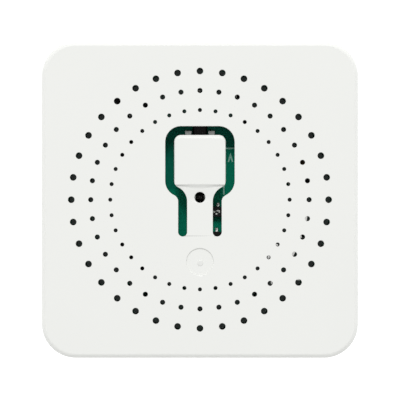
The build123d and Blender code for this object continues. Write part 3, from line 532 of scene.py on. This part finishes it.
# The separate solids of a mesh, as lists of vertices
def solidsOf(bm):
    waiting, groups = set(bm.verts), []
    while waiting:
        group, edge = [], [waiting.pop()]
        while edge:
            vert = edge.pop()
            group.append(vert)
            for link in vert.link_edges:
                other = link.other_vert(vert)
                if other in waiting:
                    waiting.remove(other)
                    edge.append(other)
        groups.append(group)
    return groups


def boxOf(verts):
    low = Vector([min(vert.co[i] for vert in verts) for i in range(3)])
    high = Vector([max(vert.co[i] for vert in verts) for i in range(3)])
    return low, high


# The vented cover, with round vents and the gate mark where its material went in
coverShape = {
    "ceiling": faceTop - 1.5 * mm, "rings": ((11.5, 0.26), (14.0, 0.33), (16.5, 0.43)), "perRing": 36,
    "ventSides": 20, "ventRim": 0.03 * mm, "slitRim": 0.05 * mm, "gateY": -7.95 * mm, "gateRadius": 1.75 * mm,
    "gateDepth": 0.18 * mm, "gateRim": 0.02 * mm, "gateSides": 64, "gateLip": 0.13 * mm, "lipFrom": 0.8,
    "lipTo": 1.1, "lipPower": 18, "gateSlope": 0.13 * mm, "nub": (0.04 * mm, -8.13 * mm),
    "nubRadius": 0.4 * mm, "nubTopShare": 0.6, "nubSides": 24, "nubDrop": 0.02 * mm, "nubLean": 0.06 * mm,
    "nubTilt": 0.045 * mm, "slitReach": (4.6 * mm, 9.6 * mm), "root": -4.72 * mm,
}


def ventPlaces():
    for ring, radius in coverShape["rings"]:
        for i in range(coverShape["perRing"]):
            angle = 2 * math.pi * i / coverShape["perRing"]
            yield ring * mm * math.cos(angle), ring * mm * math.sin(angle), radius * mm


# Takes off the cover's flat faces, its few-sided vents and its gate mark, and puts round ones in
def openCover(bm, shape):
    ceiling, rim, gateY, gate = shape["ceiling"], shape["ventRim"], shape["gateY"], shape["gateRadius"]
    gone = set(levelFaces(bm, faceTop) + levelFaces(bm, ceiling))
    vents = list(ventPlaces())
    for face in bm.faces:
        middle = face.calc_center_median()
        if middle.z < ceiling - 0.1 * mm or face in gone:
            continue
        inGate = math.hypot(middle.x, middle.y - gateY) < gate + 0.05 * mm
        if inGate or any(math.hypot(middle.x - x, middle.y - y) < radius for x, y, radius in vents):
            gone.add(face)
    dropFaces(bm, gone)
    for x, y, radius in vents:
        ringTube(bm, x, y, [(radius + rim, faceTop), (radius, faceTop - rim), (radius, ceiling)],
                 shape["ventSides"])


# The gate mark: a shallow round recess, whose lower rim leans back and catches the light, round a nub
def makeGate(bm, shape):
    gateY, gate, gateRim = shape["gateY"], shape["gateRadius"], shape["gateRim"]
    bottom = faceTop - shape["gateDepth"]
    ringTube(bm, 0, gateY, [(gate + gateRim, faceTop), (gate, faceTop - gateRim), (gate, bottom)],
             shape["gateSides"])
    for vert in bm.verts:
        down = (gateY - vert.co.y) / (gate + gateRim)
        atLip = shape["lipFrom"] < down < shape["lipTo"] and abs(vert.co.x) < gate
        inMark = math.hypot(vert.co.x, vert.co.y - gateY) < 2 * gate
        if vert.co.z > faceTop - near and atLip:
            vert.co.y -= shape["gateLip"] * down ** shape["lipPower"]
        elif abs(vert.co.z - faceTop + gateRim) < near / 2 and atLip:
            vert.co.z -= gateRim * down ** shape["lipPower"]
        elif abs(vert.co.z - bottom) < near / 2 and down < 0 and inMark:
            vert.co.y -= shape["gateSlope"] * -down
    nub, (nubX, nubY) = shape["nubRadius"], shape["nub"]
    tipRadius = nub * shape["nubTopShare"]
    rings = [(nub, bottom), (nub - 0.03 * mm, bottom + 0.04 * mm), (tipRadius, faceTop - shape["nubDrop"])]
    tip = ringTube(bm, nubX, nubY, rings, shape["nubSides"])
    for vert in {vert for edge in tip for vert in edge.verts}:
        vert.co.z -= shape["nubTilt"] * (1 + (nubY - vert.co.y) / tipRadius)
        vert.co.y += shape["nubLean"]
    bmesh.ops.contextual_create(bm, geom=tip)
    closeLevels(bm, bottom)


def makeCover():
    shape = coverShape
    bm = cadCopy("cover", join=False)
    openCover(bm, shape)
    makeGate(bm, shape)
    closeLevels(bm, faceTop, shape["ceiling"])
    bmesh.ops.recalc_face_normals(bm, faces=bm.faces)
    roundCase(bm, faceTop, -1)
    slitX, slitY = shape["slitReach"]
    atSlit = lambda place: abs(place.x) < slitX and shape["root"] - 1 * mm < place.y < slitY
    overRoot = lambda edge: all(abs(vert.co.y - shape["root"]) < 0.02 * mm for vert in edge.verts)
    slit = [edge for edge in levelCreases(bm, faceTop, atSlit) if not overRoot(edge)]
    roundOff(bm, slit, shape["slitRim"], 2)
    flattenLevels(showNode("cover", bm, "white_case"))


makeCover()
print("cover done")

# The springy tongue with its pad, which bends from its root.
tongueShape = {
    "root": -4.72 * mm, "rootCut": 1.9 * mm, "bendEnd": 1.2 * mm, "low": faceTop - 1.0 * mm,
    "padTop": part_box("button_tongue")[1][2], "padChamfer": 0.3 * mm, "padRound": 0.06 * mm,
    "crownY": 5.4 * mm, "crownPull": 0.06 * mm, "crownRun": 2 * mm, "sideSpread": 0.07,
    "footFrom": 2.41 * mm, "footLean": 0.97, "footY": 1.9 * mm, "footColumns": 24, "footCurve": 1.3,
    # middle of each row of the foot, from the pad's top down to the stem
    "footMiddles": (1.98, 1.88, 1.77, 1.64, 1.5, 1.37), "ramp": 0.085 * mm, "rampFrom": -0.4 * mm,
    "rampLength": 2.0 * mm, "rim": 0.05 * mm, "lampY": 0.3 * mm, "lampRadius": 0.7 * mm,
    "lampRim": 0.06 * mm, "lampSides": 40, "collar": 1.3 * mm, "collarLow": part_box("button_tongue")[0][2],
    "clearOfLamp": 1.0 * mm, "steepAngle": math.radians(60),
    "rampBand": (faceTop - 0.1 * mm, faceTop + 0.02 * mm),
}


# The pad's sides are steeper than its far edge, which is fuller
def shapePad(bm, shape, wallTop):
    for vert in bm.verts:
        share = (vert.co.z - wallTop) / shape["padChamfer"]
        if share > 0.01:
            vert.co.x *= 1 + shape["sideSpread"] * share
            if vert.co.y < shape["footFrom"]:
                vert.co.y -= (vert.co.z - wallTop) * shape["footLean"]
            elif vert.co.y > shape["crownY"]:
                far = min(1, (vert.co.y - shape["crownY"]) / shape["crownRun"])
                vert.co.y -= shape["crownPull"] * share * far


# The pad's foot runs out into the stem in a shallow curve, and narrows to nothing at the ends
def makeFoot(bm, shape, wallTop):
    def atEnd(place):
        lean = max(0, place.z - wallTop) * (1 - shape["footLean"])
        return (place.x > 2 * mm and place.z > faceTop - near and place.y > shape["footY"] - near
                and abs(place.y - shape["footY"] - lean) < 2 * near)

    ends = sorted({vert for edge in bm.edges if len(edge.link_faces) == 1 for vert in edge.verts
                   if atEnd(vert.co)}, key=lambda vert: -vert.co.z)
    columns = shape["footColumns"]
    rows = []
    for end, middle in zip(ends, shape["footMiddles"]):
        row = []
        for i in range(columns + 1):
            across = 2 * i / columns - 1
            y = end.co.y + (middle * mm - end.co.y) * (1 - across ** 2) ** shape["footCurve"]
            row.append(bm.verts.new((end.co.x * across, y, end.co.z)))
        rows.append(row)
    for upper, lower in zip(rows, rows[1:]):
        for i in range(columns):
            bm.faces.new((lower[i], lower[i + 1], upper[i + 1], upper[i]))
    bmesh.ops.remove_doubles(bm, verts=bm.verts, dist=0.002 * mm)


def makeTongue():
    shape = tongueShape
    padTop, footY, lampY, low = shape["padTop"], shape["footY"], shape["lampY"], shape["low"]
    wallTop = padTop - shape["padChamfer"]
    bm = cadCopy("button_tongue", join=False)
    gone = set(levelFaces(bm, faceTop) + levelFaces(bm, low) + levelFaces(bm, padTop))
    for face in bm.faces:
        middle = face.calc_center_median()
        atFoot = middle.z > faceTop and middle.y < footY + shape["padChamfer"] and abs(face.normal.x) < 0.1
        if atFoot or math.hypot(middle.x, middle.y - lampY) < shape["collar"] + 2 * near:
            gone.add(face)
    dropFaces(bm, gone)
    shapePad(bm, shape, wallTop)
    makeFoot(bm, shape, wallTop)
    rim, radius = shape["lampRim"], shape["lampRadius"]
    collar, collarLow = shape["collar"], shape["collarLow"]
    rings = [(radius + rim, faceTop), (radius + rim * 0.3, faceTop - rim * 0.3), (radius, faceTop - rim),
             (radius, collarLow), (collar, collarLow), (collar, low)]
    ringTube(bm, 0, lampY, rings, shape["lampSides"])
    closeLevels(bm, faceTop, low, padTop)
    bmesh.ops.recalc_face_normals(bm, faces=bm.faces)
    atPad = lambda place: min(abs(place.z - padTop), abs(place.z - wallTop)) < near
    roundOff(bm, [edge for edge in creases(bm, atPad, 0.6)
                  if abs(edge.verts[0].co.z - edge.verts[1].co.z) < near], shape["padRound"], 3)
    # two cuts beside the root, so that the end of the rounding doesn't run across it
    for side in (-1, 1):
        level = levelFaces(bm, faceTop)
        geom = level + list({edge for face in level for edge in face.edges})
        geom += list({vert for face in level for vert in face.verts})
        bmesh.ops.bisect_plane(bm, geom=geom, plane_co=(side * shape["rootCut"], 0, 0), plane_no=(1, 0, 0))
    rooted = shape["root"] + 2 * near
    inStem = lambda place: place.y > rooted and math.hypot(place.x, place.y - lampY) > shape["clearOfLamp"]
    sides = [edge for edge in levelCreases(bm, faceTop, inStem)
             if edge.is_convex and edge.calc_face_angle(0) > shape["steepAngle"]]
    roundOff(bm, sides, shape["rim"], 2)
    # the stem rises gently towards the pad
    bandLow, bandHigh = shape["rampBand"]
    for vert in bm.verts:
        if bandLow < vert.co.z < bandHigh:
            share = min(1, max(0, (vert.co.y - shape["rampFrom"]) / shape["rampLength"]))
            vert.co.z += shape["ramp"] * share * share * (3 - 2 * share)
    piece = showNode("button_tongue", bm, "white_case", ride=False)
    flattenLevels(piece)
    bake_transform(piece)


makeTongue()
print("tongue done")

# The base, with round screwdriver holes
baseShape = {"floor": 1.5 * mm, "holeRadius": 1.6 * mm, "holeLead": 0.15 * mm, "holeReach": 1.06,
             "holeSides": 40}
screws = [f"terminal_screw_{i + 1}" for i in range(6)]
screwXs = [middleOf(*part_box(node))[0] for node in screws]
screwY = middleOf(*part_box(screws[0]))[1]


def makeBase():
    shape = baseShape
    radius, lead, floorTop = shape["holeRadius"], shape["holeLead"], shape["floor"]
    reach = radius * shape["holeReach"]
    bm = cadCopy("base", join=False)
    gone = set(levelFaces(bm, 0) + levelFaces(bm, floorTop))
    for face in bm.faces:
        middle = face.calc_center_median()
        fromScrews = min(math.hypot(middle.x - x, middle.y - screwY) for x in screwXs)
        if middle.z < floorTop and fromScrews < reach:
            gone.add(face)
    dropFaces(bm, gone)
    rings = [(radius + lead, 0), (radius, lead), (radius, floorTop)]
    for x in screwXs:
        ringTube(bm, x, screwY, rings, shape["holeSides"])
    closeLevels(bm, 0, floorTop)
    bmesh.ops.recalc_face_normals(bm, faces=bm.faces)
    roundCase(bm, 0, 1)
    flattenLevels(showNode("base", bm, "white_case"))


makeBase()
print("base done")

# The insulating housings, each with a lead-in round its wire entry
housingShape = {"lead": 0.3 * mm, "edge": 0.1 * mm}


def makeTerminalHousings():
    bm = cadCopy("terminal_housings")
    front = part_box("terminal_housings")[0][1]
    mouths = []
    for entry in [mount for mount in frame["record"]["mounts"] if mount["kind"] == "bore"]:
        x, _, z = entry["pos_m"]
        radius = entry["dims"]["r_mm"] * mm
        mouths += creases(bm, lambda place: abs(place.y - front) < near
                          and abs(math.hypot(place.x - x, place.z - z) - radius) < 0.05 * mm)
    roundOff(bm, mouths, housingShape["lead"], 3)
    showNode("terminal_housings", bm, "terminal_plastic", bevel=housingShape["edge"])


makeTerminalHousings()

# Clamp screws: the CAD head with its cross slot, and a turned shaft with thread grooves
screwShape = {"radius": 1.23 * mm, "tipGap": 0.03 * mm, "groove": 0.17 * mm, "pitch": 0.5 * mm,
              # heights in one turn of the thread where the groove starts, ends, and the crest is full
              "turnShares": (0.35, 0.55, 0.9), "neck": 0.2 * mm, "headHeight": 1.5 * mm, "sides": 28,
              "edge": 0.06 * mm, "cageEdge": 0.12 * mm, "tabEdge": 0.08 * mm}


def makeScrew(node, x):
    shape = screwShape
    low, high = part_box(node)
    headTop, tip, neck = low[2] + shape["headHeight"], high[2] - shape["tipGap"], shape["neck"]
    bm = cadCopy(node, join=False)
    dropFaces(bm, [face for face in bm.faces if face.calc_center_median().z > headTop + near])
    closeLevels(bm, headTop)
    joinFlats(bm)
    crest, root, pitch = shape["radius"], shape["radius"] - shape["groove"], shape["pitch"]
    profile = [(0, headTop), (crest, headTop), (crest, headTop + neck)]
    for i in range(int((tip - headTop - 2 * neck) / pitch)):
        heights = [headTop + neck + (i + share) * pitch for share in shape["turnShares"]]
        profile += list(zip((root, root, crest), heights))
    profile += [(crest, tip - neck), (root, tip), (0, tip)]
    turned(bm, profile, (x, screwY, 0), steps=shape["sides"])
    closeTurned(bm)
    showNode(node, bm, "plated_steel", bevel=shape["edge"])


for i, (node, x) in enumerate(zip(screws, screwXs)):
    makeScrew(node, x)
    cage = f"clamp_cage_{i + 1}"
    showNode(cage, cadCopy(cage, join=False), "plated_steel", bevel=screwShape["cageEdge"], segments=3)
showNode("terminal_tabs", cadCopy("terminal_tabs"), "tinned_brass", bevel=screwShape["tabEdge"])
print("wire clamps done")

# Electrolytic cans: rolled groove above the bung, sleeve turned in over the bare end
canShape = {"round": 0.4 * mm, "groove": 0.28 * mm, "grooveHalf": 0.45 * mm, "grooveUp": 1.6 * mm,
            "sleeveLip": 0.9 * mm, "bareDrop": 0.2 * mm, "bungInset": 0.8 * mm, "bungDrop": 0.15 * mm,
            "rim": 0.25 * mm, "sides": 48}


def makeCans(node, finish, count):
    shape = canShape
    low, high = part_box(node)
    radius, x = (high[0] - low[0]) / 2, middleOf(low, high)[0]
    bottom, top = low[2], high[2]
    lip, bare, rim = shape["sleeveLip"], bottom + shape["bareDrop"], shape["rim"]
    bung, bungTop = radius - shape["bungInset"], top - shape["bungDrop"]
    grooveZ, curl = top - shape["grooveUp"], shape["round"]
    profile = [(0, bare), (radius - lip, bare), (radius - lip * 0.8, bottom)]
    profile += [(radius - curl + curl * math.sin(turn), bottom + curl - curl * math.cos(turn))
                for turn in (0, math.pi / 6, math.pi / 3, math.pi / 2)]
    for up, inward in ((-1, 0), (-0.5, 1), (0.5, 1), (1, 0)):
        profile.append((radius - inward * shape["groove"], grooveZ + up * shape["grooveHalf"]))
    profile += [(radius, top - rim), (radius - rim, top), (bung, top), (bung, bungTop), (0, bungTop)]
    bm = bmesh.new()
    for i in range(count):
        y = low[1] + radius + i * (high[1] - low[1] - 2 * radius) / max(1, count - 1)
        turned(bm, profile, (x, y, 0), steps=shape["sides"])
    closeTurned(bm)
    marks = bm.faces.layers.float.new("bareMetal")
    for face in bm.faces:
        face[marks] = float(face.calc_center_median().z < bare + 2 * near and abs(face.normal.z) > 0.99)
    showNode(node, bm, finish)


makeCans("bulk_capacitors", "bulk_can", 2)
makeCans("output_capacitor", "output_can", 1)


# A coil whose turns lie side by side, between two distances along its axis, as a profile
def coilProfile(inner, outer, start, end, wire):
    turns = max(1, round((end - start) / wire))
    step = (end - start) / turns
    profile = [(inner, start), (outer - step * 0.4, start)]
    for i in range(turns):
        profile += [(outer, start + (i + 0.3) * step), (outer, start + (i + 0.7) * step)]
        profile.append((outer - step * 0.4, start + (i + 1) * step))
    return profile + [(inner, end), (inner, start)]


chokeShape = {"flange": 1.2 * mm, "neck": 1.8 * mm, "windingIn": 0.4 * mm, "edge": 0.2 * mm,
              "wire": 0.28 * mm, "windingGap": 0.05 * mm}


def makeChoke():
    shape = chokeShape
    low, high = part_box("choke_core")
    radius, edge, neck, flange = (high[0] - low[0]) / 2, shape["edge"], shape["neck"], shape["flange"]
    place = middleOf(low, high)
    bottom, top = low[2], high[2]
    lower, upper = bottom + flange, top - flange
    profile = [(0, bottom), (radius - edge, bottom), (radius, bottom + edge), (radius, lower - edge),
               (radius - edge, lower), (neck, lower), (neck, upper), (radius - edge, upper),
               (radius, upper + edge), (radius, top - edge), (radius - edge, top), (0, top)]
    turnNode("choke_core", "dark_plastic", profile, place, steps=48)
    (*_, start), (*_, end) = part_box("choke_winding")
    coil = coilProfile(neck + shape["windingGap"], radius - shape["windingIn"], start, end, shape["wire"])
    turnNode("choke_winding", "copper", coil, place)


makeChoke()

relayShape = {"coilRadius": 3.0 * mm, "tube": 1.9 * mm, "wire": 0.16 * mm, "coreRadius": 1.4 * mm,
              "coreEdge": 0.12 * mm}


def makeRelayCoil():
    shape = relayShape
    low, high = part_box("relay_winding")
    place = middleOf(low, high)
    coil = coilProfile(shape["tube"], shape["coilRadius"], low[1], high[1], shape["wire"])
    turnNode("relay_winding", "copper", coil, place, axis="y")
    (_, start, _), (_, end, _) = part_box("relay_core")
    radius, edge = shape["coreRadius"], shape["coreEdge"]
    profile = [(0, start), (radius - edge, start), (radius, start + edge), (radius, end), (0, end)]
    turnNode("relay_core", "plated_steel", profile, place, axis="y")


makeRelayCoil()

# Discs dipped in epoxy bulge evenly; the exponent fills out their rims
varistorShape = {"rows": 14, "fullness": 0.6, "sides": 48}


def makeVaristor():
    shape = varistorShape
    low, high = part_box("varistor")
    radius, half, middle = (high[2] - low[2]) / 2, (high[0] - low[0]) / 2, middleOf(low, high)
    turns = [math.pi * i / shape["rows"] for i in range(shape["rows"] + 1)]
    profile = [(radius * math.sin(turn) ** shape["fullness"], middle[0] - half * math.cos(turn))
               for turn in turns]
    turnNode("varistor", "varistor_coat", profile, middle, axis="x", steps=shape["sides"])


resistorShape = {"waist": 0.25 * mm, "bulge": 1.6 * mm, "sides": 36}


def makeFusibleResistor():
    low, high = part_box("fusible_resistor")
    radius, half, middle = (high[2] - low[2]) / 2, (high[0] - low[0]) / 2, middleOf(low, high)
    waist, bulge = resistorShape["waist"], resistorShape["bulge"]
    outline = [(0, half), (radius * 0.45, half), (radius * 0.85, half - 0.15 * mm), (radius, half - 0.5 * mm),
               (radius, half - bulge * 0.7), (radius - waist * 0.5, half - bulge),
               (radius - waist, half - bulge * 1.3)]
    profile = [(r, middle[0] - along) for r, along in outline]
    profile += [(r, middle[0] + along) for r, along in outline[::-1]]
    turnNode("fusible_resistor", "fuse_coat", profile, middle, axis="x", steps=resistorShape["sides"])


makeVaristor()
makeFusibleResistor()
print("cans and coils done")

# Solder on the leads that come up through the board, and on the broad bare tracks
jointShape = {
    "height": 0.7 * mm, "widest": 2.75 * mm, "steps": 20,
    # share of the radius and share of the height, from the rim of the joint to its tip
    "slopeShares": ((1.0, 0.0), (0.97, 0.06), (0.84, 0.13), (0.66, 0.32), (0.54, 0.6), (0.46, 0.86),
                    (0.36, 0.97), (0.2, 1.0), (0.0, 1.0)),
    "mergedPlaces": ((12.9, -4.75, 1.3), (10.0, -7.4, 1.3)),
    # start x and y, end x and y, half width, in millimetres
    "tracks": ((12.86, -2.2, 12.38, -4.6, 1.0), (12.38, -4.6, 11.08, -6.9, 1.0),
               (12.3, -9.45, 13.0, -9.45, 0.92), (9.8, -6.3, 9.75, -11.4, 0.6),
               (9.95, -7.4, 10.05, -7.4, 1.22)),
    "trackSides": 32,
    # insets as shares of the half width, each with its rise in millimetres
    "trackSteps": ((0.0, 0.12), (0.12, 0.16), (0.2, 0.05), (0.3, 0.02)),
}


def solderTip(bm, x, y, radius):
    shape = jointShape
    profile = [(radius * out, boardTop + shape["height"] * up) for out, up in shape["slopeShares"]]
    turned(bm, profile, (x, y, 0), steps=shape["steps"])


# A flooded track: a flat strip with rounded ends, drawn in towards its top
def solderTrack(bm, startX, startY, endX, endY, half):
    length = math.hypot(endX - startX, endY - startY)
    turn = math.atan2(endY - startY, endX - startX)
    middle = Matrix.Translation(((startX + endX) / 2, (startY + endY) / 2, boardTop))
    known = set(bm.verts)
    circle = bmesh.ops.create_circle(bm, segments=jointShape["trackSides"], radius=half,
                                     cap_ends=True)["verts"]
    for vert in circle:
        vert.co.x += math.copysign(length / 2, vert.co.x)
    flat = circle[0].link_faces[0]
    for width, rise in jointShape["trackSteps"]:
        bmesh.ops.inset_region(bm, faces=[flat], thickness=width * half)
        for vert in flat.verts:
            vert.co.z += rise * mm
    strip = [vert for vert in bm.verts if vert not in known]
    bmesh.ops.transform(bm, matrix=middle @ Matrix.Rotation(turn, 4, "Z"), verts=strip)


def makeSolderJoints():
    cad = cadCopy("solder_joints")
    bm = bmesh.new()
    for group in solidsOf(cad):
        low, high = boxOf(group)
        if max(high.x - low.x, high.y - low.y) < jointShape["widest"]:
            x, y, _ = middleOf(low, high)
            solderTip(bm, x, y, (high.x - low.x) / 2)
    cad.free()
    for x, y, radius in jointShape["mergedPlaces"]:
        solderTip(bm, x * mm, y * mm, radius * mm)
    for track in jointShape["tracks"]:
        solderTrack(bm, *[value * mm for value in track])
    closeTurned(bm)
    showNode("solder_joints", bm, "solder")


makeSolderJoints()


# A wedge's outline in shares of its reach and height; past one share of the reach it spreads sideways
wedgeShape = {"outline": ((0, 0), (1, 0), (0.45, 0.4), (0, 1)), "spreadFrom": 0.2, "spread": 0.25}


# A small wedge of solder against an upright face: foot of the face, outward direction, width, reach, height
def solderWedge(bm, x, y, outX, outY, width, reach, height):
    shape = wedgeShape
    base = Vector((x, y, boardTop))
    out, side = Vector((outX, outY, 0)), Vector((-outY, outX, 0)) * width / 2
    verts = [bm.verts.new(base - side + out * reach * far + Vector((0, 0, height * up)))
             for far, up in shape["outline"]]
    grown = bmesh.ops.extrude_face_region(bm, geom=[bm.faces.new(verts)])["geom"]
    farVerts = [part for part in grown if isinstance(part, bmesh.types.BMVert)]
    bmesh.ops.translate(bm, vec=side * 2, verts=farVerts)
    for group, shift in ((verts, 1), (farVerts, -1)):
        for vert in group:
            if (vert.co - base).dot(out) > reach * shape["spreadFrom"]:
                vert.co += side * shape["spread"] * shift


chipShape = {
    "edge": 0.05 * mm, "legTop": 0.3 * mm, "legReach": 0.13 * mm, "legRise": 0.15 * mm, "endDepth": 0.25 * mm,
    "endWidth": 0.9, "endReach": 0.16 * mm, "endRise": 0.6,
}


def within(place, low, high, slack, axes=3):
    return all(low[i] - slack < place[i] < high[i] + slack for i in range(axes))


# Chips with metal legs: what lies outside the flat top's outline is bare metal
def makeLeggedChip(node, solder, grow=0.02 * mm):
    shape = chipShape
    bm = cadCopy(node)
    bare = bm.faces.layers.float.new("bareMetal")
    for group in solidsOf(bm):
        low, high = boxOf(group)
        top = boxOf([vert for vert in group if vert.co.z > high.z - near])
        for face in {face for vert in group for face in vert.link_faces}:
            face[bare] = float(not within(face.calc_center_median(), *top, grow, axes=2))
        for out, edge in ((-1, low.y), (1, high.y)):
            tips = sorted({round(vert.co.x, 6) for vert in group
                           if abs(vert.co.y - edge) < near and vert.co.z < boardTop + shape["legTop"]})
            for left, right in zip(tips[::2], tips[1::2]):
                solderWedge(solder, (left + right) / 2, edge, 0, out, right - left,
                            shape["legReach"], shape["legRise"])
    showNode(node, bm, "chip_black", bevel=shape["edge"])


# Flat chips: both ends along the longer side are bare metal, with solder against them
def makeFlatChips(node, finish, solder):
    shape, slack = chipShape, near / 10
    bm = cadCopy(node)
    boxes = [boxOf(group) for group in solidsOf(bm)]
    alongOf = lambda low, high: 0 if high.x - low.x > high.y - low.y else 1
    for low, high in boxes:
        axis = alongOf(low, high)
        for edge, inward in ((low[axis], 1), (high[axis], -1)):
            cut, normal = Vector(low), Vector((0, 0, 0))
            cut[axis] = edge + inward * shape["endDepth"]
            normal[axis] = 1
            verts = [vert for vert in bm.verts if within(vert.co, low, high, slack)]
            parts = set(verts) | {link for vert in verts for link in vert.link_edges}
            parts |= {face for vert in verts for face in vert.link_faces}
            bmesh.ops.bisect_plane(bm, geom=list(parts), plane_co=cut, plane_no=normal)
            middle, out = middleOf(low, high)[:2], [0, 0]
            middle[axis], out[axis] = edge, -inward
            solderWedge(solder, *middle, *out, (high - low)[1 - axis] * shape["endWidth"],
                        shape["endReach"], (high.z - low.z) * shape["endRise"])
    bare = bm.faces.layers.float.new("bareMetal")
    for face in bm.faces:
        middle = face.calc_center_median()
        low, high = next(box for box in boxes if within(middle, *box, slack))
        axis = alongOf(low, high)
        inside = min(middle[axis] - low[axis], high[axis] - middle[axis])
        face[bare] = float(inside < shape["endDepth"] - slack / 10)
    showNode(node, bm, finish, bevel=shape["edge"])


# The push switch's legs: flat from the knee on, and broader towards their tips
switchLegShape = {"footTop": 0.2 * mm, "foot": 1.05 * mm, "cut": 0.6, "tipFrom": 0.99,
                  "tipDrop": 0.03 * mm, "spreadFrom": 0.5, "spread": 1.3,
                  "wedgeWidth": 0.9 * mm, "wedge": 0.15 * mm, "edge": 0.03 * mm}


def makeSwitchLegs(solder):
    shape = switchLegShape
    bm = cadCopy("tact_switch_legs")
    middleY = middleOf(*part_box("tact_switch_body"))[1]
    footTop = boardTop + shape["footTop"]
    tip = max(vert.co.y for vert in bm.verts) - middleY
    knee = tip - shape["foot"]
    for side in (-1, 1):
        bmesh.ops.bisect_plane(bm, geom=bm.verts[:] + bm.edges[:] + bm.faces[:], plane_no=(0, 1, 0),
                               plane_co=(0, middleY + side * (knee + shape["cut"] * shape["foot"]), 0))
    for group in solidsOf(bm):
        low, high = boxOf(group)
        legX = middleOf(low, high)[0]
        side = 1 if high.y > middleY + knee else -1
        for vert in group:
            out = (abs(vert.co.y - middleY) - knee) / shape["foot"]
            if out > shape["spreadFrom"]:
                vert.co.x = legX + (vert.co.x - legX) * (1 + (shape["spread"] - 1) * out)
            if out > shape["tipFrom"] and vert.co.z > footTop - near:
                vert.co.z -= shape["tipDrop"]
        end = high.y if side > 0 else low.y
        solderWedge(solder, legX, end, 0, side, shape["wedgeWidth"], shape["wedge"], shape["wedge"])
    showNode("tact_switch_legs", bm, "dull_solder", bevel=shape["edge"])


def makeSmallParts():
    solder = bmesh.new()
    for node in ("bridge_rectifier", "power_chip", "voltage_regulator", "signal_transistors"):
        makeLeggedChip(node, solder)
    makeLeggedChip("protection_diode", solder, grow=0.25 * mm)
    makeFlatChips("chip_resistors", "chip_black", solder)
    makeFlatChips("chip_capacitors", "chip_brown", solder)
    makeFlatChips("status_lamp_body", "lamp_body", solder)
    makeSwitchLegs(solder)
    bmesh.ops.recalc_face_normals(solder, faces=solder.faces)
    addPiece("surface_solder", solder, "solder", slot="solder")


makeSmallParts()
print("solder and small parts done")

# Nodes in their own shapes: finish, and the width of the broken edges in millimetres
dressed = {
    "circuit_board": ("green_board", 0.04), "radio_board": ("radio_board", 0.03),
    "radio_pins": ("tinned_brass", 0.05),
    "radio_shield": ("plated_steel", 0.08), "component_leads": ("solder", 0.04),
    "tact_switch_body": ("dark_plastic", 0.06), "tact_switch_frame": ("plated_steel", 0.05),
    "tact_switch_dome": ("plated_steel", 0.0), "status_lamp_lens": ("lamp_lens", 0.06),
    "relay_case": ("relay_case", 0.15), "relay_base": ("dark_plastic", 0.05),
    "relay_pins": ("tinned_brass", 0.04), "relay_bobbin": ("dark_plastic", 0.08),
    "relay_yoke": ("plated_steel", 0.08),
    "relay_armature": ("plated_steel", 0.08), "relay_leaf_spring": ("tinned_brass", 0.04),
    "relay_fixed_contact": ("tinned_brass", 0.04), "suppression_capacitor": ("film_case", 0.2),
}
for node, (finish, bevel) in dressed.items():
    showNode(node, cadCopy(node), finish, bevel=bevel * mm)


# The plunger's tip is a hair lower, so that the pad rests on it and doesn't cut it
plungerShape = {"drop": 0.04 * mm, "edge": 0.1 * mm}


def makePlunger():
    bm = cadCopy("tact_switch_plunger")
    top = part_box("tact_switch_plunger")[1][2]
    for vert in bm.verts:
        if vert.co.z > top - near:
            vert.co.z -= plungerShape["drop"]
    showNode("tact_switch_plunger", bm, "dark_plastic", bevel=plungerShape["edge"])


makePlunger()
print("other nodes dressed:", len(dressed))

# A pale floor, one soft key light beyond the top edge, and an even pale surround
studio = {
    "floorHalf": 2.0, "floorDrop": 0.05 * mm, "floorGlow": 1.26, "surround": 0.68, "keyAngle": 36.0,
    "keyDistance": 1.8, "keySpread": 22.0, "keyPower": 17.2,
}


def makeStudio():
    bm = bmesh.new()
    bmesh.ops.create_grid(bm, x_segments=8, y_segments=8, size=studio["floorHalf"],
                          matrix=Matrix.Translation((0, 0, cadBox[0][2] - studio["floorDrop"])))
    mesh = bpy.data.meshes.new("pale_floor")
    bm.to_mesh(mesh)
    bm.free()
    paper = Finish("pale_floor", {"Emission Color": (1, 1, 1), "Emission Strength": studio["floorGlow"]})
    paper.set("Base Color", paper.mix(paper.noise(4.0), (0.1, 0.1, 0.1), (0.08, 0.08, 0.08)))
    paper.set("Roughness", paper.between(paper.noise(30.0), 0.7, 0.8))
    mesh.materials.append(paper.material)
    floor = addObject("pale_floor", mesh)

    tilt = math.radians(studio["keyAngle"])
    light = bpy.data.lights.new("key", "AREA")
    light.energy = studio["keyPower"]
    light.size = 2 * studio["keyDistance"] * math.tan(math.radians(studio["keySpread"] / 2))
    key = addObject("key", light)
    key.location = (0, math.sin(tilt) * studio["keyDistance"], math.cos(tilt) * studio["keyDistance"])
    key.rotation_euler = (-tilt, 0, 0)

    world = bpy.data.worlds.new("surround")
    world.use_nodes = True
    background = world.node_tree.nodes["Background"]
    background.inputs["Color"].default_value = (1, 1, 1, 1)
    background.inputs["Strength"].default_value = studio["surround"]
    bpy.context.scene.world = world
    bpy.context.scene.view_settings.view_transform = "Standard"


# The camera looks straight down through a long lens
cameraSetup = {"height": 600 * mm, "across": 51.28 * mm, "middle": (0.008 * mm, -0.036 * mm),
               "sensor": 36.0, "near": 0.01, "far": 20.0}


def makeCamera():
    setup = cameraSetup
    lens = bpy.data.cameras.new("camera")
    lens.sensor_width = setup["sensor"]
    lens.lens = setup["sensor"] * setup["height"] / setup["across"]
    lens.clip_start, lens.clip_end = setup["near"], setup["far"]
    camera = addObject("camera", lens)
    camera.location = (*setup["middle"], faceTop + setup["height"])
    bpy.context.scene.camera = camera


makeStudio()
makeCamera()
print("studio and camera set")
